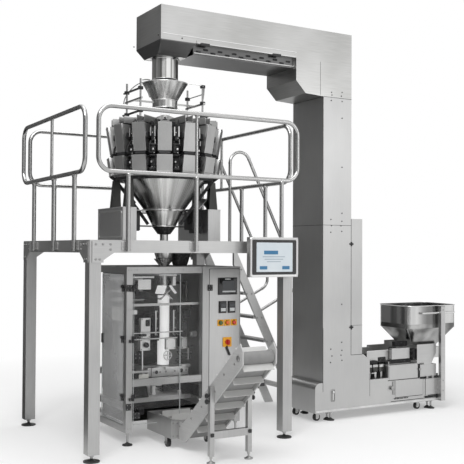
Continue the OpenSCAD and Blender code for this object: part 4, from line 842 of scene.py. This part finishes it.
for name, x, low, high in (("start_button", 1408, (0.05, 0.11, 0.03), (0.08, 0.16, 0.04)),
        ("stop_button", 1480, (0.75, 0.13, 0.02), (0.85, 0.18, 0.03)),
        ("halt_button", 1552, (0.6, 0.04, 0.03), (0.7, 0.06, 0.04))):
    piece(name, [turned((x, 352, 1043), FRONT, [(17.5, -8), (17.5, 0), (15, 4), (8, 6)], 24)],
        plain(name, low, high, rough=0.25, coat=0.4))
piece("switch_tail", [sheet([(1472, 361, 826), (1478, 356, 800), (1506, 358, 738)], (8, 0, 3), 5)], rubber)
piece("cabinet_side", [slab((CAB_RIGHT, 412, z), RIGHT, (40, 60), plate(0, 8, 3, 11), 6)
    for z in (420, 1000, 1440)] + [slab((CAB_RIGHT, 860, 520 + 22 * i), RIGHT, (240, 8), plate(-1, 1.2), 3)
    for i in range(9)] + [slab((1598, 368.6, 640), FRONT, (20, 54), plate(0, 5, 3, 9), 8)], black_plastic)


# Take-away conveyor: side plates, a grey belt with white cleats, rollers between them, a geared
# motor on the right plate, a stand with cross bar, and the receiving box on two wheels.
SLOPE, HEAD_Y, LOW_Z, TOP_Z = math.radians(39.3), -980, 155, 937
KNEE_Y = HEAD_Y + (TOP_Z - LOW_Z) / math.tan(SLOPE)


def belt_build():
    """Grey belt; what stands further from its middle plane than the belt itself is a cleat."""
    y, z = coordinate(1), coordinate(2)
    run = (PLAN_Y + KNEE_Y) / 1000 - y
    square = run.between(-0.001, 0.001) * (math.cos(SLOPE) - 1) + 1.0
    away = ((z - LOW_Z / 1000 - run.most(0.0) * math.tan(SLOPE)) * square).maths("ABSOLUTE", 0.0)
    weave = noise(700, 1.0)
    dull = two_tone((0.19, 0.19, 0.19), (0.27, 0.27, 0.265), noise(20))
    return (two_tone(dull, (0.56, 0.56, 0.55), away.between(0.0505, 0.0525)), 0.5 + weave * 0.1, weave,
        0.0001)


wear(material("cleated_belt", belt_build), "conveyor_belt")
chute_steel = brushed("chute_sheet", 0.4, 0.54, LEVEL, 0.4)
shade(chute_steel.node_tree, Metallic=0.3)
wear(chute_steel, "conveyor_sides")
wear(tube_steel, "conveyor_rollers")
wear(beaded, "conveyor_stand")
wear(black_plastic, "conveyor_motor", "conveyor_wheel_1", "conveyor_wheel_2")


def belt_z(y):
    """Height of the belt's middle plane at y."""
    return LOW_Z + max(0.0, KNEE_Y - y) * math.tan(SLOPE)


NEAR_X, FAR_X = 832, 1148
piece("axle_caps", [turned((x, y, belt_z(y)), out, [(24, 0), (24, 6), (15, 9), (12, 12)])
    for y in (HEAD_Y + 60, 440) for x, out in ((NEAR_X, LEFT), (FAR_X, RIGHT))], zinc)
SIDE_BOLTS = ((-860, 0), (-700, 30), (-560, -10), (-330, 20), (-150, 40), (60, 40), (250, 45), (250, -45),
    (420, 45))
piece("side_bolts", bolts([(NEAR_X, y, belt_z(y) + dz) for y, dz in SIDE_BOLTS], LEFT, 7)
    + bolts([(FAR_X, y, belt_z(y) + dz) for y, dz in SIDE_BOLTS if y != -700], RIGHT, 7)
    + bolts([(x, 75, z) for x in (775, 815, 1168, 1188) for z in (110, 222)], FRONT, 6), zinc)
motor_y, motor_z = HEAD_Y + 320, belt_z(HEAD_Y + 320)
fins = [turned((1188, motor_y, motor_z + 62 + 11 * i), UP, [(38, 0), (41, 1), (41, 4), (38, 5)], 24)
    for i in range(9)]
piece("motor_fins", fins + [turned((1188, motor_y, motor_z + 165), UP,
    [(38, 0), (40, 2), (40, 16), (30, 20)], 24), turned((1210, motor_y, motor_z - 8), RIGHT,
    [(30, 0), (30, 6), (22, 10)], 24), slab((1205, motor_y - 45, motor_z + 110), FRONT, (42, 52),
    plate(-10, 14, 3, 17), 5)], black_plastic)
piece("motor_plate", [slab((FAR_X, motor_y + 10, motor_z), RIGHT, (150, 140), plate(0, 4, 1, 5), 8)]
    + corner_studs((FAR_X + 5, motor_y + 10, motor_z), RIGHT, 64, 58, 6), zinc)
leg_knobs = [turned((x, -530, belt_z(-530) - drop), out, [(9, 0), (9, 12), (20, 14), (22, 26), (16, 32)],
    14) for x, out in ((792, LEFT), (1188, RIGHT)) for drop in (20, 66)]
leg_knobs += [slab((x, -552, 232), FRONT, (30, 30), plate(0, 5, 2, 7), 5) for x in (812, 1168)]
piece("leg_knobs", leg_knobs, black_plastic)
piece("wheel_hubs", [turned((x, 190, 37.5), out, [(14, 0), (14, 3), (8, 5)], 16)
    for x, out in ((756, LEFT), (1200, RIGHT))], zinc)


# Bucket elevator: brushed sheet housing in screwed sections with dark seams, a light lip strip
# and clips along the arm, a drip channel below it, and a side duct with clasps.
tall_steel = brushed("elevator_sheet", 0.46, 0.55, UPRIGHT, 0.26, 0.12)
wear(tall_steel, "elevator_column", "elevator_duct", "elevator_base")
ARM_LOW, SPOUT_TOP = 3.635, 3.516
HEAD_END, ARM_END = 1140, 2268


def arm_build():
    """Light brushed arm with painted shade: left of the elbow the drip channel and the head's sloping faces
    under it are made dark, and the head's outlet has upright streaking painted as reflections."""
    x, z = coordinate(0), coordinate(2)
    beyond_head, beyond_arm = [x.between((PLAN_X + end) / 1000, (PLAN_X + end + 2) / 1000)
        for end in (HEAD_END, ARM_END)]
    upper = z.between(ARM_LOW - 0.001, ARM_LOW).most(beyond_arm)
    lines = noise(240, 2.0, LEVEL)
    painted_streaks = noise(26, 2.0, (1, 1, 0.001)).between(0.4, 0.6)
    tone = (lines * 0.32 + noise(1.1) * 0.68).between(0.33, 0.68)
    # Painted shade: dark under the arm's lower edge, left of the elbow.
    shaded_below = two_tone(two_tone((0.12,) * 3, (0.17,) * 3, tone), (0.43, 0.43, 0.42), upper)
    metal = two_tone(shaded_below, (0.6, 0.6, 0.595), upper * tone.between(0.1, 0.9))
    # Painted reflections: upright light and dark streaks on the spout.
    spout_painted_streaks = two_tone((0.2, 0.2, 0.195), (0.8, 0.8, 0.79), painted_streaks)
    return (two_tone(spout_painted_streaks, metal, z.between(SPOUT_TOP - 0.001, SPOUT_TOP).most(beyond_head)),
        0.26 + lines * 0.1, lines, 0.00005)


wear(material("arm_painted_shade_sheet", arm_build, 1.0), "elevator_arm", "elevator_head")
HOUSE = ((390, FRONT), (930, BACK))
COL_X0, COL_X1, SEAM_ROWS = 2610, 2967, plate(-1, 0.8)
seams = [slab((x, 660, z), out, (541, 4), SEAM_ROWS, 1) for z in (3282, 1980)
    for x, out in ((COL_X0, LEFT), (COL_X1, RIGHT))]
seams += [slab((x, y, z), out, size, SEAM_ROWS, 1) for y, out in HOUSE
    for x, z, size in ((2788.5, 3282, (358, 4)), (2788.5, 1980, (358, 4)), (COL_X1, 1350, (5, 1400)),
    (3040, 953, (145, 3)), (3040, 651, (145, 5)), (COL_X0 + 2, 620, (4, 640)),
    (COL_X0 - 40, 3460, (3, 340)), (1150, 3630, (3, 60)), (3215, 330, (3, 240)))]
piece("elevator_seams", seams, castings)
STUDS = ((2711, 3333), (2845, 3345), (2715, 3306), (2835, 3306), (2706, 3249), (2845, 3252), (2845, 3079),
    (2846, 2576), (2847, 2104), (2706, 2038), (2846, 2022), (2714, 1975), (2834, 1975), (2705, 1908),
    (2845, 1919), (2847, 1174), (2847, 787), (2709, 725), (2850, 705), (2724, 655), (2838, 657),
    (2705, 591), (2850, 603), (1000, 3662), (760, 3662))
piece("housing_screws", sum([studs([(x, y, z) for x, z in STUDS], out, 7) for y, out in HOUSE], []),
    castings)
piece("arm_clips", [slab((x, y, 3632), out, (96, 26), plate(0, 8, 4, 11), 5) for y, out in HOUSE
    for x in (1240, 2040)], black_plastic)
piece("arm_lips", [slab((1535, y, 3688), out, (1480, 7), plate(-1, 3, 1, 4), 1) for y, out in HOUSE]
    + [slab((1710, y, 3640), out, (1100, 5), plate(-1, 3), 1) for y, out in HOUSE], edge_steel)
SLOT_X = np.linspace(1190, 2200, 14)
piece("channel_slots", [slab((x, y, 3570 + 24 * (i % 2)), out, (52, 17), plate(-1, 3, 2, 5), 6)
    for y, out in ((430, FRONT), (890, BACK)) for i, x in enumerate(SLOT_X)], castings)
piece("channel_bars", [bar([(HEAD_END, y, 3553), (ARM_END, y, 3553)], 6) for y in (424, 896)], dull_steel)
piece("spout_bands", [wire(circle((960, 660, z), UP, r), UP, t) for z, r, t in ((3318, 121, 3.5),
    (3508, 123, 5))], edge_steel)
piece("spout_clasps", around([slab((130, 0, 3506), RIGHT, (20, 16), plate(-6, 10, 2, 12), 3)],
    np.radians((-75, 15, 105, 195))), black_plastic)
piece("duct_clasps", [slab((2970, 390, z), FRONT, size, plate(0, 7, 3, 10), 5) for z in (1790, 935)
    for size in ((46, 18), (14, 46))], black_plastic)


# Elevator base: folded sheet with a latch plate and an inspection door, the bucket well, and
# black rubber mounts, bars and casters below.
BASE_Y = 390
piece("latch_plates", [slab((2737, BASE_Y, 256), FRONT, (50, 128), [(0, 0), (0, 3), (3, 5), (8, 5),
    (10, 1)], 14, k=4), slab((3540, BASE_Y, 270), FRONT, (36, 140), plate(0, 5, 2, 7), 4),
    turned((3512, BASE_Y, 270), FRONT, [(10, 0), (10, 10), (22, 14), (22, 26), (16, 30)])], zinc)
piece("latch_slot", [slab((2737, BASE_Y - 1, 240), FRONT, (14, 60), plate(0, 4, 2, 6), 5),
    turned((2737, BASE_Y - 1, 290), FRONT, [(14, 0), (14, 12), (9, 16)])], dull_steel)
piece("base_doors", slabs(FRONT, plate(-1, 3, 1, 4), 5, (3752, BASE_Y, 256, 380, 176),
    (3680, BASE_Y, 428, 404, 144), (4026, BASE_Y, 424, 230, 134), (4062, BASE_Y, 246, 212, 176)),
    tall_steel)
GAPS = ((3752, 165, 388, 6, 2), (3680, 351, 440, 7, 1.4), (3834, 127, 660, 6, 1.2), (3642, 153, 190, 9, 7),
    (4040, 349, 250, 22, 10), (4075, 140, 190, 16, 8), (3892, 428, 26, 150, 7), (3985, 246, 5, 176, 6),
    (4160, 240, 22, 290, 3), (3903, 428, 4, 140, 3))
piece("base_gaps", [slab((x, BASE_Y, z), FRONT, (w, h), [(0, -1), (0, d)], 1.5) for x, z, w, h, d in GAPS],
    castings)
piece("base_knobs", [turned((x, BASE_Y - 4, z), FRONT, [(8, 0), (8, 8), (14, 10), (14, 18)], 12)
    for x, z in ((4000, 352), (4080, 352), (3896, 446))] + studs([(x, BASE_Y - 7, 153)
    for x in (3570, 3620, 3670, 3715)], FRONT, 5), zinc)
piece("base_lips", [sheet([(2527, y, 106), (4223, y, 106)], (0, 3, 0), 18) for y in (BASE_Y - 2, 932)],
    dull_steel)
well = [slab((3261 + 80 * i, 660, 520), UP, (64, 420), [(0, 0), (1, 6), (6, 6), (8, 0)], 6)
    for i in range(3)]
well += [slab((3261 + 80 * i, 449, 470), FRONT, (60, 50), plate(-1, 3, 5, 6), 8) for i in range(3)]
piece("bucket_edges", well, smoked)
piece("well_dark", [slab((3342, y, 410), out, (250, 90), plate(-1, 2), 2)
    for y, out in ((505, FRONT), (815, BACK))] + [slab((3342, 402, 366), UP, (250, 20), plate(-1, 3), 2),
    slab((3342, 700, 500), FRONT, (250, 200), plate(-8, 0, 2, 2), 4),
    slab((3342, 470, 540), FRONT, (90, 40), BLOCK_ROWS, 8), slab((3250, 480, 556), FRONT, (40, 60),
    BLOCK_ROWS, 8)], castings)
piece("well_glints", [slab((3320, 446, 434), FRONT, (70, 7), plate(0, 2), 2),
    slab((3420, 446, 506), FRONT, (40, 24), plate(0, 2), 2)], edge_steel)
for i, (x, y) in enumerate(((2595, 480), (2595, 840), (3945, 480), (3945, 840)), 1):
    wear(beaded, "caster_fork_%d" % i)
    wear(rubber, "caster_wheel_%d" % i)
    piece("caster_hub_%d" % i, [turned((x, y + s * 14, 37.5), (0, s, 0), [(20, -0.4), (20, 0.8), (12, 2)])
        for s in (-1, 1)], edge_steel, "caster_wheel_%d" % i)
FEET = [(x, y) for x in (2720, 4090) for y in (470, 850)]
piece("elevator_foot_rods", [turned((x, y, 24), UP, [(8, 0), (8, 40), (16, 40), (16, 50), (8, 50), (8, 67)],
    14) for x, y in FEET], zinc)
piece("elevator_foot_pads", [turned((x, y, 0), UP, [(34, 0), (36, 4), (34, 10), (18, 22), (12, 28)], 20)
    for x, y in FEET], rubber)


# Vibrating tray and infeed hopper: an open tray on a black-mounted drive with side sheets, and
# a pyramid hopper with a folded rim, carried by two corner posts and a bracket bar.
wear(sheet_level, "vibrating_tray")
SLOPES_TOP = 0.926


def cup_build():
    """Polished sheet with broad upright streaking painted as reflections, made darker on the sloping faces
    as painted shade.
    """
    lines = noise(240, 2.0, UPRIGHT)
    painted_streaks = noise(5.5, 1.0, (1, 1.6, 0.05)).between(0.36, 0.62)
    walls = two_tone((0.2, 0.2, 0.198), (0.66, 0.66, 0.655), painted_streaks)
    # Painted shade: the slopes under the walls are darker.
    shaded_slopes = two_tone((0.14, 0.14, 0.138), (0.48, 0.48, 0.475), noise(4, 2.0).between(0.35, 0.65))
    return (two_tone(shaded_slopes, walls, coordinate(2).between(SLOPES_TOP, SLOPES_TOP + 0.002)),
        0.16 + lines * 0.08, lines, 0.00004)


wear(material("hopper_painted_light_sheet", cup_build, 1.0), "infeed_hopper")
HOP_X, HOP_Y, HOP_TOP = 4120, 660, 1125
rim = np.concatenate([rounded((704, 534), 80, 6), np.zeros((28, 1))], 1) + (HOP_X, HOP_Y, HOP_TOP - 2)
piece("hopper_rim", [wire(rim, UP, 5)], edge_steel)
piece("hopper_bands", [bar([(3925, y, 1046), (4405, y, 1046)], 7) for y in (368, 952)], edge_steel)
mounts = [turned((x, y, 490), UP, [(22, 0), (22, 8), (16, 14), (16, 22), (20, 30)], 16)
    for x in (3560, 3790) for y in (480, 840)]
mounts += [slab((3470, 500, 560), FRONT, (110, 60), plate(-200, 0, 5, 6), 8),
    slab((3690, 660, 505), UP, (330, 330), plate(-14, 0, 6, 4), 12),
    slab((3905, 470, 600), LEFT, (120, 120), plate(-10, 60, 5, 66), 8),
    slab((3690, 456, 534), FRONT, (300, 40), plate(-20, 0, 3, 3), 4),
    slab((3790, 560, 708), FRONT, (180, 54), BLOCK_ROWS, 10), slab((3640, 505, 640), FRONT, (70, 90),
    BLOCK_ROWS, 8)]
piece("tray_mounts", mounts, castings)
piece("tray_boxes", [slab((3694, y, 618), out, (254, 118), plate(-40, 0, 3, 3), 5)
    for y, out in ((452, FRONT), (868, BACK))], sheet_level)
piece("tray_lips", [bar([(3268, y, 659), (3560, y, 659)], 4, 8) for y in (502, 818)]
    + [bar([(3268, 505, 545), (3268, 815, 545)], 4, 8)], edge_steel)
post_bolts = bolts([(4195, 330, z) for z in (1080, 310, 200)], FRONT,
    6) + bolts([(4195, 990, z) for z in (1080, 310)], BACK, 6)
piece("post_caps", [slab((4195, y, 1117), UP, (64, 44), plate(-1, 3, 3, 5), 5) for y in (350, 970)]
    + post_bolts, zinc)
